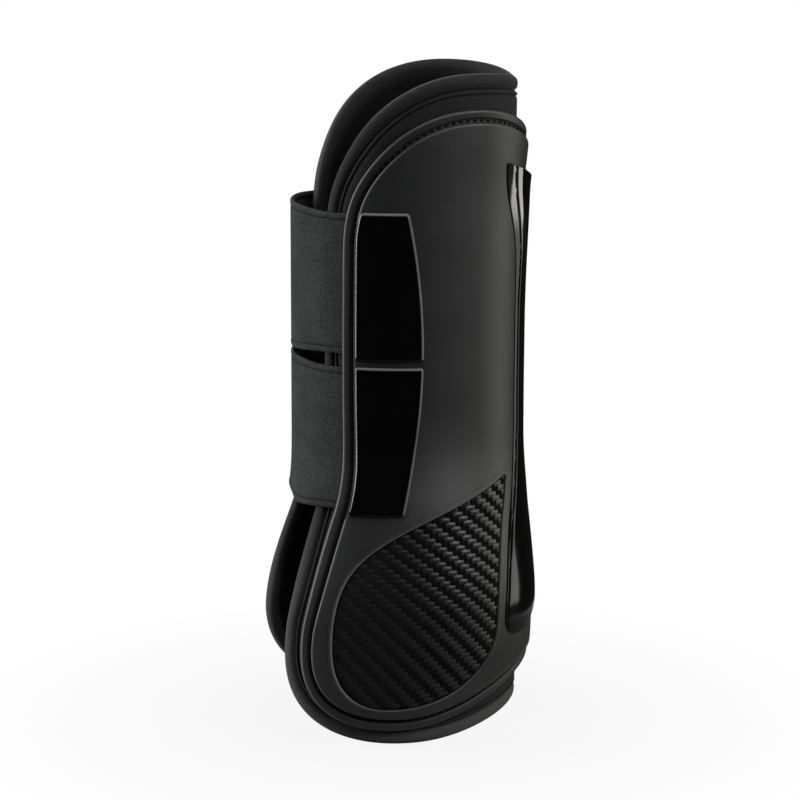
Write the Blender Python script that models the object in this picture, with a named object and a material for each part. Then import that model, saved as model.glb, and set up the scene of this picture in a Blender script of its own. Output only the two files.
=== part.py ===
"""Tendon boot for a horse's foreleg: moulded shell, padded liner and two elastic straps.

Metres, +Z up the leg. +X is the back of the leg (the tendons), -X the open front,
-Y the inner side of the leg (medial) and +Y the outer side (lateral).
Most pieces are sheets laid on the same leg surface. A place on a sheet is given by its arc,
the distance round the leg from the back centre line (positive to the medial side), by its level
above the lowest edge, and by its lift off the leg surface.
"""

import math

import bmesh
import bpy
import numpy as np
from mathutils import Vector
from mathutils.geometry import delaunay_2d_cdt

# Leg surface: levels of its sections, and at each one the reach to the back, to the front and sideways
FETLOCK_LEVEL = 0.047
ANKLE_LEVEL = 0.084
CANNON_LEVEL = 0.109
SHOULDER_LEVEL = 0.194
COLLAR_LEVEL = 0.216
TOP_LEVEL = 0.240
BACK_AT_BOTTOM = 0.0430
BACK_AT_FETLOCK = 0.0454
BACK_AT_ANKLE = 0.0419
BACK_AT_CANNON = 0.0405
BACK_AT_SHOULDER = 0.0415
BACK_AT_COLLAR = 0.0434
BACK_AT_TOP = 0.0437
FRONT_AT_BOTTOM = 0.0600
FRONT_AT_FETLOCK = 0.0570
FRONT_AT_ANKLE = 0.0450
FRONT_AT_CANNON = 0.0385
FRONT_AT_SHOULDER = 0.0370
FRONT_AT_COLLAR = 0.0370
FRONT_AT_TOP = 0.0370
SIDE_AT_BOTTOM = 0.0392
SIDE_AT_FETLOCK = 0.0419
SIDE_AT_ANKLE = 0.0360
SIDE_AT_CANNON = 0.0320
SIDE_AT_SHOULDER = 0.0310
SIDE_AT_COLLAR = 0.0307
SIDE_AT_TOP = 0.0305

# Layers, from the leg outwards
FIT_GAP = 0.0003
GLUE_LINE = 0.0005
PILE_GAP = 0.0006
FOLD_GAP = 0.0012
LINER_THICKNESS = 0.0045
STRAP_THICKNESS = 0.0014
LAYER_SLACK = 0.0002
FLANGE_THICKNESS = 0.0015
SHELL_STEP = 0.0011

# Outline of the shell on the leg
SHELL_TOP = 0.2277
SHELL_BACK_TOP = 0.2150
SHELL_CREST_ARC = 0.0370
SHELL_EDGE_ARC = 0.0808
SHELL_EDGE_TOP = 0.1800
SHELL_EDGE_BOTTOM = 0.1090
SHELL_LOBE_ARC = 0.1073
SHELL_LOBE_LEVEL = 0.0390
SHELL_BOTTOM = 0.0064
SHELL_BOTTOM_ARC = 0.0680
SHELL_BACK_BOTTOM = 0.0250
OUTLINE_SOFTENING = 0.0030
ROUND = 2.0
LOBE_FULLNESS = 2.4

# Flange round the shell: stitch channel, then the step up to the main surface
CHANNEL_INSET = 0.0020
CHANNEL_WIDTH = 0.0010
CHANNEL_DEPTH = 0.0005
STEP_INSET = 0.0043
STEP_DRAFT = 0.0004

# Liner and its rolled edge stand out past the shell by these margins, and on the lateral side by a reach more
LINER_TOP_MARGIN = 0.0120
LINER_BACK_TOP_MARGIN = 0.0205
LINER_EDGE_MARGIN = 0.0108
LINER_LOBE_MARGIN = 0.0098
LINER_BOTTOM_MARGIN = 0.0064
LINER_BOTTOM_ARC_MARGIN = 0.0065
LINER_BACK_BOTTOM_MARGIN = 0.0170
LATERAL_EDGE_REACH = 0.0038
LATERAL_LOBE_REACH = 0.0062
LATERAL_SHOULDER_FULLNESS = 2.25
LATERAL_LOBE_FULLNESS = 1.8
BINDING_WIDTH = 0.0052
BINDING_HEIGHT = 0.0048

# Foam sheet between shell and liner stops short of the strap ends sewn in round it
FOAM_INSET = 0.0135

# Tendon guard down the back
GUARD_TOP = 0.2088
GUARD_TOP_DIP = 0.0090
GUARD_TOP_HALF = 0.0226
GUARD_WAIST_HALF = 0.0142
GUARD_WAIST_TOP = 0.1700
GUARD_WAIST_BOTTOM = 0.1140
GUARD_BULB_HALF = 0.0313
GUARD_BULB_LEVEL = 0.0430
GUARD_BOTTOM = 0.0363
GUARD_LOBE_ARC = 0.0240
GUARD_BOTTOM_RISE = 0.0100
GUARD_THICKNESS = 0.0017
GUARD_RECESS = 0.0008
GUARD_BEVEL = 0.0016
GUARD_EDGE = 0.0008
GUARD_SOFTENING = 0.0014

# Strike pads beside the fetlock, sunk in the shell
PAD_TIP_LEVEL = 0.0952
PAD_GUARD_MARGIN = 0.0038
PAD_FRONT_MARGIN = 0.0123
PAD_FRONT_LEVEL = 0.0420
PAD_BOTTOM_MARGIN = 0.0086
PAD_BOTTOM_ARC = 0.0715
PAD_FRONT_PULL = 0.0300
PAD_TIP_PULL = 0.0375
PAD_TIP_DROP = 0.0147
PAD_THICKNESS = 0.0007
PAD_RECESS = 0.0017
PAD_SOFTENING = 0.0008

# Straps
STRAP_WIDTH = 0.0500
LOWER_STRAP_LEVEL = 0.0860
STRAP_GAP = 0.0050
STRAP_FRONT_SPREAD = 0.0016
STRAP_FRONT_REACH = 0.0385
STRAP_ROOT_LENGTH = 0.0115
STRAP_HINGE_OUT = 0.0022
STRAP_LEAVE_OUT = 0.0015
STRAP_LANDING = 0.0020
STRAP_OVERLAP = 0.0140

# Gloss panels on the medial side, one beside each strap
PANEL_EDGE_INSET = 0.0056
PANEL_BELLY = 0.0050
PANEL_BELLY_LEVEL = 0.1440
PANEL_BELLY_RADIUS = 0.2500
PANEL_OVERRUN = 0.0018
PANEL_THICKNESS = 0.0013
PANEL_RECESS = 0.0006
PANEL_BEVEL = 0.0008
PANEL_SOFTENING = 0.0009

# Hook-and-loop closure on the lateral side
TAB_LENGTH = 0.0360
TAB_END_WIDTH = 0.0340
TAB_SOFTENING = 0.0010
HOOK_INSET = 0.0030
HOOK_THICKNESS = 0.0010
LOOP_THICKNESS = 0.0010
LOOP_RECESS = 0.0006
LOOP_EDGE_INSET = 0.0070
LOOP_OVERRUN = 0.0012
LOOP_SOFTENING = 0.0018

# Mesh fineness
EDGE_STEP = 0.0060
TRIM_STEP = 0.0040
FILL_ARC_STEP = 0.0064
FILL_LEVEL_STEP = 0.0124
FILL_CLEARANCE = 0.0038
TRACE_STEP = 0.0005
ARC_SAMPLES = 181
CURVE_POINTS = 24
BINDING_SIDES = 8
STRAP_ROWS = 5
ROOT_COLUMNS = 5
NEAR_COLUMNS = 6
FRONT_COLUMNS = 10
FAR_COLUMNS = 5

# Lifts of the layers, worked out from the thicknesses; 0 is the outside of the foam and strap layer
ROOT_THICKNESS = STRAP_THICKNESS - 2 * LAYER_SLACK
FOAM_OUTER = -LAYER_SLACK
FOAM_INNER = LAYER_SLACK - STRAP_THICKNESS
LINER_OUTER = -STRAP_THICKNESS - FIT_GAP
LINER_INNER = LINER_OUTER - LINER_THICKNESS
SHELL_INNER = FIT_GAP
FLANGE_OUTER = SHELL_INNER + FLANGE_THICKNESS
SHELL_OUTER = FLANGE_OUTER + SHELL_STEP
PAD_FLOOR = SHELL_OUTER - PAD_RECESS
GUARD_FLOOR = SHELL_OUTER - GUARD_RECESS
PANEL_FLOOR = SHELL_OUTER - PANEL_RECESS
LOOP_FLOOR = SHELL_OUTER - LOOP_RECESS
LOOP_INNER = LOOP_FLOOR + GLUE_LINE
LOOP_OUTER = LOOP_INNER + LOOP_THICKNESS
HOOK_INNER = LOOP_OUTER + PILE_GAP
HOOK_OUTER = HOOK_INNER + HOOK_THICKNESS
TAB_INNER = HOOK_OUTER + GLUE_LINE
TAB_OUTER = TAB_INNER + STRAP_THICKNESS
STRAP_NEAR_LIFT = -STRAP_THICKNESS / 2
STRAP_FAR_LIFT = TAB_INNER + STRAP_THICKNESS / 2

SECTION_LEVELS = (
    0.0, FETLOCK_LEVEL, ANKLE_LEVEL, CANNON_LEVEL, SHOULDER_LEVEL, COLLAR_LEVEL, TOP_LEVEL
)
SECTION_BACKS = (
    BACK_AT_BOTTOM, BACK_AT_FETLOCK, BACK_AT_ANKLE, BACK_AT_CANNON, BACK_AT_SHOULDER, BACK_AT_COLLAR,
    BACK_AT_TOP,
)
SECTION_FRONTS = (
    FRONT_AT_BOTTOM, FRONT_AT_FETLOCK, FRONT_AT_ANKLE, FRONT_AT_CANNON, FRONT_AT_SHOULDER, FRONT_AT_COLLAR,
    FRONT_AT_TOP,
)
SECTION_SIDES = (
    SIDE_AT_BOTTOM, SIDE_AT_FETLOCK, SIDE_AT_ANKLE, SIDE_AT_CANNON, SIDE_AT_SHOULDER, SIDE_AT_COLLAR,
    SIDE_AT_TOP,
)

# Surface finishes: linear colour, roughness
FINISHES = {
    "shell_plastic": ((0.022, 0.022, 0.023), 0.45),
    "gloss_plastic": ((0.004, 0.004, 0.004), 0.12),
    "twill_plastic": ((0.012, 0.012, 0.013), 0.35),
    "neoprene": ((0.010, 0.010, 0.011), 0.90),
    "binding_fabric": ((0.016, 0.016, 0.017), 0.85),
    "foam": ((0.030, 0.030, 0.032), 0.95),
    "elastic": ((0.045, 0.045, 0.047), 0.88),
    "hook_and_loop": ((0.008, 0.008, 0.009), 0.95),
}


def rise(share):
    """Smooth step from 0 to 1 with level ends."""
    share = np.clip(share, 0.0, 1.0)
    return share * share * (3.0 - 2.0 * share)


def smooth_track(stations, values, at):
    """Monotone cubic curve through the values at the stations, read at the given places."""
    x, y = np.array(stations), np.array(values)
    width = np.diff(x)
    slope = np.diff(y) / width
    turn = np.zeros_like(y)
    same_way = slope[:-1] * slope[1:] > 0
    weight_a, weight_b = 2 * width[1:] + width[:-1], width[1:] + 2 * width[:-1]
    safe = np.where(same_way, slope[:-1] * slope[1:], 1.0)
    mean = (weight_a + weight_b) * safe / (weight_a * slope[1:] + weight_b * slope[:-1] + 1e-30)
    turn[1:-1] = np.where(same_way, mean, 0.0)
    turn[0], turn[-1] = slope[0], slope[-1]
    at = np.asarray(at, float)
    piece = np.clip(np.searchsorted(x, at) - 1, 0, len(x) - 2)
    h = width[piece]
    u = (at - x[piece]) / h
    ends = (1 + 2 * u) * (1 - u) ** 2 * y[piece] + u * u * (3 - 2 * u) * y[piece + 1]
    inside = ends + h * u * (1 - u) ** 2 * turn[piece] - h * u * u * (1 - u) * turn[piece + 1]
    outside = np.where(u < 0, y[0] + turn[0] * (at - x[0]), y[-1] + turn[-1] * (at - x[-1]))
    return np.where((u < 0) | (u > 1), outside, inside)


def leg_section(level):
    """Centre, half depth and half width of the leg's elliptical section at a level."""
    back = smooth_track(SECTION_LEVELS, SECTION_BACKS, level)
    front = smooth_track(SECTION_LEVELS, SECTION_FRONTS, level)
    side = smooth_track(SECTION_LEVELS, SECTION_SIDES, level)
    return (back - front) / 2, (back + front) / 2, side


def arc_table(depth, side):
    """Arc length from the back centre at evenly spaced turns of an ellipse, half way round."""
    turns = np.linspace(0.0, math.pi, ARC_SAMPLES)
    speed = np.hypot(depth * np.sin(turns), side * np.cos(turns))
    steps = (speed[1:] + speed[:-1]) / 2 * (turns[1] - turns[0])
    return turns, np.concatenate([[0.0], np.cumsum(steps)])


def leg_points(sheet, lift):
    """World points for (arc, level) places, lifted off the leg square to the section."""
    sheet = np.atleast_2d(sheet)
    centre, depth, side = leg_section(sheet[:, 1])
    turn = np.empty(len(sheet))
    for i, (arc, level) in enumerate(sheet):
        turns, arcs = arc_table(depth[i], side[i])
        turn[i] = math.copysign(np.interp(abs(arc), arcs, turns), arc)
    out = np.stack([np.cos(turn) / depth, -np.sin(turn) / side], 1)
    out /= np.linalg.norm(out, axis=1)[:, None]
    x = centre + depth * np.cos(turn) + lift * out[:, 0]
    y = -side * np.sin(turn) + lift * out[:, 1]
    return np.stack([x, y, sheet[:, 1]], 1)


def arc_at(x, level):
    """Arc at which the leg's section at a level passes a given x."""
    centre, depth, side = leg_section(level)
    arcs = []
    for i in range(len(level)):
        turns, table = arc_table(depth[i], side[i])
        arcs.append(np.interp(math.acos((x[i] - centre[i]) / depth[i]), turns, table))
    return np.array(arcs)


def resampled(loop, step):
    """Closed loop with evenly spaced points about a step apart."""
    closed = np.vstack([loop, loop[:1]])
    run = np.concatenate([[0.0], np.cumsum(np.linalg.norm(np.diff(closed, axis=0), axis=1))])
    count = max(8, int(round(run[-1] / step)))
    at = np.linspace(0.0, run[-1], count, endpoint=False)
    return np.stack([np.interp(at, run, closed[:, k]) for k in (0, 1)], 1)


def softened(loop, reach, step):
    """Closed loop with its corners rounded by averaging along it, then resampled."""
    fine = resampled(loop, TRACE_STEP)
    half = int(3 * reach / TRACE_STEP)
    weight = np.exp(-0.5 * (np.arange(-half, half + 1) * TRACE_STEP / reach) ** 2)
    weight /= weight.sum()
    wrapped = np.vstack([fine[-half:], fine, fine[:half]])
    even = np.stack([np.convolve(wrapped[:, k], weight, "valid") for k in (0, 1)], 1)
    return resampled(even, step)


def inset(loop, distance):
    """Closed loop moved inwards by a distance, point for point."""
    along = np.roll(loop, -1, 0) - np.roll(loop, 1, 0)
    along /= np.linalg.norm(along, axis=1)[:, None]
    x, y = loop[:, 0], loop[:, 1]
    turning = np.sign(np.sum(x * np.roll(y, -1) - y * np.roll(x, -1)))
    return loop + distance * turning * np.stack([-along[:, 1], along[:, 0]], 1)


def both_sides(medial, lateral):
    """Whole outline from its halves, both drawn on the medial side and ending on the back centre line."""
    return np.vstack([medial, lateral[-2:0:-1] * np.array([-1.0, 1.0])])


def inside(points, loop):
    """Which points lie inside a closed loop."""
    x, y = points[:, 0][:, None], points[:, 1][:, None]
    x0, y0 = loop[:, 0], loop[:, 1]
    x1, y1 = np.roll(x0, -1), np.roll(y0, -1)
    height = np.where(y1 == y0, 1e-12, y1 - y0)
    crosses = ((y0 > y) != (y1 > y)) & (x < (x1 - x0) * (y - y0) / height + x0)
    return crosses.sum(1) % 2 == 1


def quarter(centre, start, end, fullness=ROUND):
    """Quarter ellipse between two points that lie square to each other about its centre.

    A fullness above 2 swells it towards the corner.
    """
    turn = np.linspace(0.0, math.pi / 2, CURVE_POINTS)[:, None]
    centre, start, end = np.array(centre), np.array(start), np.array(end)
    power = ROUND / fullness
    return centre + (start - centre) * np.cos(turn) ** power + (end - centre) * np.sin(turn) ** power


def edge_arc_at(level, edge, lobe):
    """Arc of a front edge: straight up the cannon, flaring in an S down to the fetlock lobe."""
    return edge + (lobe - edge) * rise((SHELL_EDGE_BOTTOM - level) / (SHELL_EDGE_BOTTOM - SHELL_LOBE_LEVEL))


def shell_edge_at(level):
    """Arc of the shell's front edge at a level, drawn back along the shoulder above its straight run."""
    level = np.asarray(level, float)
    climb = np.clip((level - SHELL_EDGE_TOP) / (SHELL_TOP - SHELL_EDGE_TOP), 0.0, 1.0)
    drawn_back = (SHELL_EDGE_ARC - SHELL_CREST_ARC) * (1 - np.sqrt(1 - climb**2))
    return edge_arc_at(level, SHELL_EDGE_ARC, SHELL_LOBE_ARC) - drawn_back


def line_inside_edge(level, distance):
    """Arc, at a level, of a line that keeps a distance from the shell's front edge, square to it."""
    levels = np.linspace(SHELL_LOBE_LEVEL, SHELL_TOP, 10 * CURVE_POINTS)
    arcs = shell_edge_at(levels)
    lean = np.gradient(arcs, levels)
    length = np.hypot(1.0, lean)
    return np.interp(level, levels + distance * lean / length, arcs - distance / length)


def liner_edge_at(level):
    """Arc of the liner's front edge at a level."""
    edge, lobe = SHELL_EDGE_ARC + LINER_EDGE_MARGIN, SHELL_LOBE_ARC + LINER_LOBE_MARGIN
    return edge_arc_at(np.asarray(level, float), edge, lobe)


def boot_half(
    top, back_top, edge, lobe, bottom, bottom_arc, back_bottom,
    shoulder_fullness=ROUND, lobe_fullness=LOBE_FULLNESS,
):
    """Half outline of a layer: dipped top, round shoulder, straight edge, flare, lobe and raised heel."""
    share = np.linspace(0.0, 1.0, CURVE_POINTS)
    dip = np.stack([share * SHELL_CREST_ARC, top - (top - back_top) * (1 - share) ** 2], 1)
    crest, foremost = (SHELL_CREST_ARC, top), (edge, SHELL_EDGE_TOP)
    shoulder = quarter((SHELL_CREST_ARC, SHELL_EDGE_TOP), crest, foremost, shoulder_fullness)
    levels = np.linspace(SHELL_EDGE_BOTTOM, SHELL_LOBE_LEVEL, CURVE_POINTS)
    flare = np.stack([edge_arc_at(levels, edge, lobe), levels], 1)
    low = (bottom_arc, bottom)
    fetlock = quarter((bottom_arc, SHELL_LOBE_LEVEL), (lobe, SHELL_LOBE_LEVEL), low, lobe_fullness)
    heel = np.stack([bottom_arc * (1 - share), bottom + (back_bottom - bottom) * rise(share)], 1)
    return np.vstack([dip, shoulder[1:], flare, fetlock[1:], heel[1:]])


def shell_outline():
    """Outline of the shell's rim."""
    half = boot_half(
        SHELL_TOP, SHELL_BACK_TOP, SHELL_EDGE_ARC, SHELL_LOBE_ARC,
        SHELL_BOTTOM, SHELL_BOTTOM_ARC, SHELL_BACK_BOTTOM,
    )
    return softened(both_sides(half, half), OUTLINE_SOFTENING, EDGE_STEP)


def liner_half(edge_reach, lobe_reach, shoulder_fullness, lobe_fullness):
    """Half outline of the liner with its rolled edge, its front edge standing out further by the reaches."""
    return boot_half(
        SHELL_TOP + LINER_TOP_MARGIN, SHELL_BACK_TOP + LINER_BACK_TOP_MARGIN,
        SHELL_EDGE_ARC + LINER_EDGE_MARGIN + edge_reach, SHELL_LOBE_ARC + LINER_LOBE_MARGIN + lobe_reach,
        SHELL_BOTTOM - LINER_BOTTOM_MARGIN, SHELL_BOTTOM_ARC - LINER_BOTTOM_ARC_MARGIN,
        SHELL_BACK_BOTTOM - LINER_BACK_BOTTOM_MARGIN, shoulder_fullness, lobe_fullness,
    )


def liner_outline():
    """Outline of the liner, which reaches further round the leg on the lateral side."""
    medial = liner_half(0.0, 0.0, ROUND, LOBE_FULLNESS)
    lateral = liner_half(
        LATERAL_EDGE_REACH, LATERAL_LOBE_REACH, LATERAL_SHOULDER_FULLNESS, LATERAL_LOBE_FULLNESS
    )
    return softened(both_sides(medial, lateral), OUTLINE_SOFTENING, EDGE_STEP)


def foam_outline():
    """Outline of the foam sheet, drawn in from the shell's."""
    half = boot_half(
        SHELL_TOP - FOAM_INSET, SHELL_BACK_TOP - FOAM_INSET, SHELL_EDGE_ARC - FOAM_INSET,
        SHELL_LOBE_ARC - FOAM_INSET, SHELL_BOTTOM + FOAM_INSET, SHELL_BOTTOM_ARC,
        SHELL_BACK_BOTTOM + FOAM_INSET,
    )
    return softened(both_sides(half, half), OUTLINE_SOFTENING, EDGE_STEP)


def guard_half_at(level):
    """Half width of the tendon guard: flared top, narrow waist, swelling to the bulb."""
    flare = rise((level - GUARD_WAIST_TOP) / (GUARD_TOP - GUARD_WAIST_TOP))
    bulb = rise((GUARD_WAIST_BOTTOM - level) / (GUARD_WAIST_BOTTOM - GUARD_BULB_LEVEL))
    widen = (GUARD_TOP_HALF - GUARD_WAIST_HALF) * flare
    return GUARD_WAIST_HALF + widen + (GUARD_BULB_HALF - GUARD_WAIST_HALF) * bulb


def guard_outline(step):
    """Outline of the tendon guard, with a dipped top and a raised middle at the bottom."""
    levels = np.linspace(GUARD_TOP, GUARD_BULB_LEVEL, 2 * CURVE_POINTS)
    side = np.stack([guard_half_at(levels), levels], 1)
    heel = (GUARD_LOBE_ARC, GUARD_BOTTOM)
    lobe = quarter((GUARD_LOBE_ARC, GUARD_BULB_LEVEL), (GUARD_BULB_HALF, GUARD_BULB_LEVEL), heel)
    share = np.linspace(0.0, 1.0, CURVE_POINTS)
    under = np.stack([GUARD_LOBE_ARC * (1 - share), GUARD_BOTTOM + GUARD_BOTTOM_RISE * rise(share)], 1)
    half = np.vstack([[(0.0, GUARD_TOP - GUARD_TOP_DIP)], side, lobe[1:], under[1:]])
    return softened(both_sides(half, half), GUARD_SOFTENING, step)


def pad_outline(step):
    """Teardrop beside the guard: its tip up the tendon, its round end on the fetlock lobe."""
    front, bottom = SHELL_LOBE_ARC - PAD_FRONT_MARGIN, SHELL_BOTTOM + PAD_BOTTOM_MARGIN
    levels = np.linspace(PAD_TIP_LEVEL, GUARD_BULB_LEVEL, CURVE_POINTS)
    back = np.stack([guard_half_at(levels) + PAD_GUARD_MARGIN, levels], 1)
    heel = quarter((PAD_BOTTOM_ARC, GUARD_BULB_LEVEL), back[-1], (PAD_BOTTOM_ARC, bottom))
    lowest, foremost = (PAD_BOTTOM_ARC, bottom), (front, PAD_FRONT_LEVEL)
    toe = quarter((PAD_BOTTOM_ARC, PAD_FRONT_LEVEL), lowest, foremost, LOBE_FULLNESS)
    rising, falling = toe[-1] + (0.0, PAD_FRONT_PULL), back[0] + (PAD_TIP_PULL, -PAD_TIP_DROP)
    ends = np.array([toe[-1], rising, falling, back[0]])
    t = np.linspace(0.0, 1.0, 2 * CURVE_POINTS)[:, None]
    weights = np.hstack([(1 - t) ** 3, 3 * t * (1 - t) ** 2, 3 * t * t * (1 - t), t**3])
    brow = weights @ ends
    return softened(np.vstack([back, heel[1:], toe[1:], brow[1:-1]]), PAD_SOFTENING, step)


def panel_outline(low, high, step):
    """Gloss panel between two levels: one side along the shell's step, the other bellied."""
    levels = np.linspace(low, high, CURVE_POINTS)
    front = line_inside_edge(levels, PANEL_EDGE_INSET)
    belly = PANEL_BELLY - (levels - PANEL_BELLY_LEVEL) ** 2 / (2 * PANEL_BELLY_RADIUS)
    back = arc_at(belly, levels)
    loop = np.vstack([np.stack([front, levels], 1), np.stack([back, levels], 1)[::-1]])
    return softened(loop, PANEL_SOFTENING, step)


def strap_levels(which):
    """Lower and upper edge of a strap where it is sewn in; which is 0 for the lower one."""
    low = LOWER_STRAP_LEVEL + which * (STRAP_WIDTH + STRAP_GAP)
    return low, low + STRAP_WIDTH


def tab_start_at(level):
    """Arc, on the lateral side, where a strap ends and its tab begins."""
    return shell_edge_at(level) - STRAP_OVERLAP


def closure_outline(which, start_at, margin, softening, step):
    """Tapered outline with a round end, on the lateral side: the tab's, drawn in by a margin.

    start_at gives the arc of its wide end at each level.
    """
    low, high = strap_levels(which)
    middle, half_end = (low + high) / 2, TAB_END_WIDTH / 2 - margin
    levels = np.linspace(high - margin, low + margin, CURVE_POINTS)
    start = np.stack([start_at(levels), levels], 1)
    end = float(tab_start_at(middle)) - TAB_LENGTH + margin
    bend = np.linspace(-math.pi / 2, math.pi / 2, CURVE_POINTS)
    tip = np.stack([end + half_end / 2 * (1 - np.cos(bend)), middle + half_end * np.sin(bend)], 1)
    loop = np.vstack([start, tip])
    return softened(loop * np.array([-1.0, 1.0]), softening, step)


def tab_outline(which, step):
    """Outline of a strap's tab, a fold's gap from the strap's end."""
    return closure_outline(which, lambda level: tab_start_at(level) - FOLD_GAP, 0.0, TAB_SOFTENING, step)


def hook_outline(which, step):
    """Outline of the hook patch, inside its tab's."""
    return closure_outline(
        which, lambda level: tab_start_at(level) - FOLD_GAP - HOOK_INSET, HOOK_INSET, TAB_SOFTENING, step
    )


def loop_outline(which, step):
    """Outline of the loop patch, which runs past its tab and up to the shell's step."""
    return closure_outline(
        which, lambda level: line_inside_edge(level, LOOP_EDGE_INSET), -LOOP_OVERRUN, LOOP_SOFTENING, step
    )


def triangulated(loops, free):
    """Triangles filling the first loop, with every loop's own edges kept, over loop and free points."""
    squeeze = np.array([1.0, FILL_ARC_STEP / FILL_LEVEL_STEP])
    points = np.vstack([*loops, free]) * squeeze
    edges, first = [], 0
    for loop in loops:
        count = len(loop)
        edges += [(first + i, first + (i + 1) % count) for i in range(count)]
        first += count
    found = delaunay_2d_cdt([Vector(p) for p in points], edges, [], 0, 1e-7, True)
    places, triangles, origins = found[0], found[2], found[3]
    if len(places) != len(points):
        raise ValueError("two outlines cross on one sheet")
    old = np.array([origin[0] for origin in origins])
    return enclosed(old[np.array(triangles)], len(loops[0]))


def enclosed(triangles, count):
    """Triangles that can't be reached from outside without crossing the rim, which is the first points."""
    rim = {frozenset((i, (i + 1) % count)) for i in range(count)}
    beside = {}
    for number, (a, b, c) in enumerate(triangles.tolist()):
        for side in ((a, b), (b, c), (c, a)):
            if frozenset(side) not in rim:
                beside.setdefault(frozenset(side), []).append(number)
    outside = np.zeros(len(triangles), bool)
    outside[[numbers[0] for numbers in beside.values() if len(numbers) == 1]] = True
    pairs = np.array([numbers for numbers in beside.values() if len(numbers) == 2])
    reached = -1
    while reached != outside.sum():
        reached = outside.sum()
        outside[pairs[outside[pairs].any(1)]] = True
    return triangles[~outside]


def fill_points(loops):
    """Points of a staggered lattice, shared by all sheets, inside the first loop and clear of every loop."""
    outline = loops[0]
    low, high = outline.min(0), outline.max(0)
    columns = np.arange(math.floor(low[0] / FILL_ARC_STEP), math.ceil(high[0] / FILL_ARC_STEP))
    rows = np.arange(math.floor(low[1] / FILL_LEVEL_STEP), math.ceil(high[1] / FILL_LEVEL_STEP) + 1)
    column, row = np.meshgrid(columns, rows)
    arcs = (column + row % 2 / 2) * FILL_ARC_STEP
    points = np.stack([arcs.ravel(), row.ravel() * FILL_LEVEL_STEP], 1)
    points = points[inside(points, outline)]
    squeeze = np.array([1.0, FILL_ARC_STEP / FILL_LEVEL_STEP])
    edge = np.vstack(loops)
    apart = np.linalg.norm((points[:, None] - edge[None]) * squeeze, axis=2).min(1)
    return points[apart > FILL_CLEARANCE]


def sheet_piece(name, finish, edge, inner, outer, details=(), regions=(), parent=None):
    """Solid sheet on the leg: an edge loop, an inner lift, an outer lift, and detail loops.

    edge is (loop, lift of its outer rim); details are further (loop, lift) pairs on the outer face;
    regions are (loop, lift) pairs that set the lift of what lies inside them.
    """
    rim, rim_lift = edge
    loops = [rim] + [loop for loop, lift in details]
    free = fill_points(loops)
    free_lift = np.full(len(free), outer)
    for loop, lift in regions:
        free_lift[inside(free, loop)] = lift
    lifts = [np.full(len(rim), rim_lift)] + [np.full(len(loop), lift) for loop, lift in details]
    top = leg_points(np.vstack([*loops, free]), np.concatenate([*lifts, free_lift]))
    top_faces = triangulated(loops, free)
    inner_free = fill_points([rim])
    bottom = leg_points(np.vstack([rim, inner_free]), np.full(len(rim) + len(inner_free), inner))
    bottom_faces = triangulated([rim], inner_free)
    base = len(top)
    count = len(rim)
    walls = [(i, (i + 1) % count, base + (i + 1) % count, base + i) for i in range(count)]
    faces = [*top_faces, *(base + bottom_faces[:, ::-1])]
    return make_piece(name, finish, np.vstack([top, bottom]), faces, walls, parent)


def make_piece(name, finish, points, faces, walls, parent=None):
    """Mesh object facing outwards, with its place kept relative to its parent empty."""
    offset = np.array(parent.matrix_world.translation) if parent else np.zeros(3)
    mesh = bpy.data.meshes.new(name)
    mesh.from_pydata((points - offset).tolist(), [], [list(f) for f in faces] + [list(w) for w in walls])
    body = bmesh.new()
    body.from_mesh(mesh)
    bmesh.ops.recalc_face_normals(body, faces=body.faces)
    if body.calc_volume(signed=True) < 0:
        bmesh.ops.reverse_faces(body, faces=body.faces)
    body.to_mesh(mesh)
    body.free()
    mesh.shade_smooth()
    mesh.set_sharp_from_angle(angle=math.radians(35))
    mesh.materials.append(surface(finish))
    piece = bpy.data.objects.new(name, mesh)
    bpy.context.scene.collection.objects.link(piece)
    piece.parent = parent
    return piece


def surface(finish):
    """Principled material for a finish, made once."""
    found = bpy.data.materials.get(finish)
    if found:
        return found
    colour, roughness = FINISHES[finish]
    made = bpy.data.materials.new(finish)
    made.use_nodes = True
    shader = made.node_tree.nodes["Principled BSDF"]
    shader.inputs["Base Color"].default_value = (*colour, 1.0)
    shader.inputs["Roughness"].default_value = roughness
    shader.inputs["Metallic"].default_value = 0.0
    return made


def empty(name, place, parent=None):
    """Empty at a world place, for pieces to hang from."""
    made = bpy.data.objects.new(name, None)
    bpy.context.scene.collection.objects.link(made)
    made.parent = parent
    made.location = Vector(place) - (parent.matrix_world.translation if parent else Vector())
    bpy.context.view_layer.update()
    return made


def hermite(start, start_way, end, end_way, count):
    """Plan curve between two points that leaves and arrives along given directions."""
    t = np.linspace(0.0, 1.0, count)[:, None]
    reach = np.linalg.norm(end - start)
    leave = start_way / np.linalg.norm(start_way) * reach
    arrive = end_way / np.linalg.norm(end_way) * reach
    ends = (1 + 2 * t) * (1 - t) ** 2 * start + t * t * (3 - 2 * t) * end
    return ends + t * (1 - t) ** 2 * leave - t * t * (1 - t) * arrive


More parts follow.
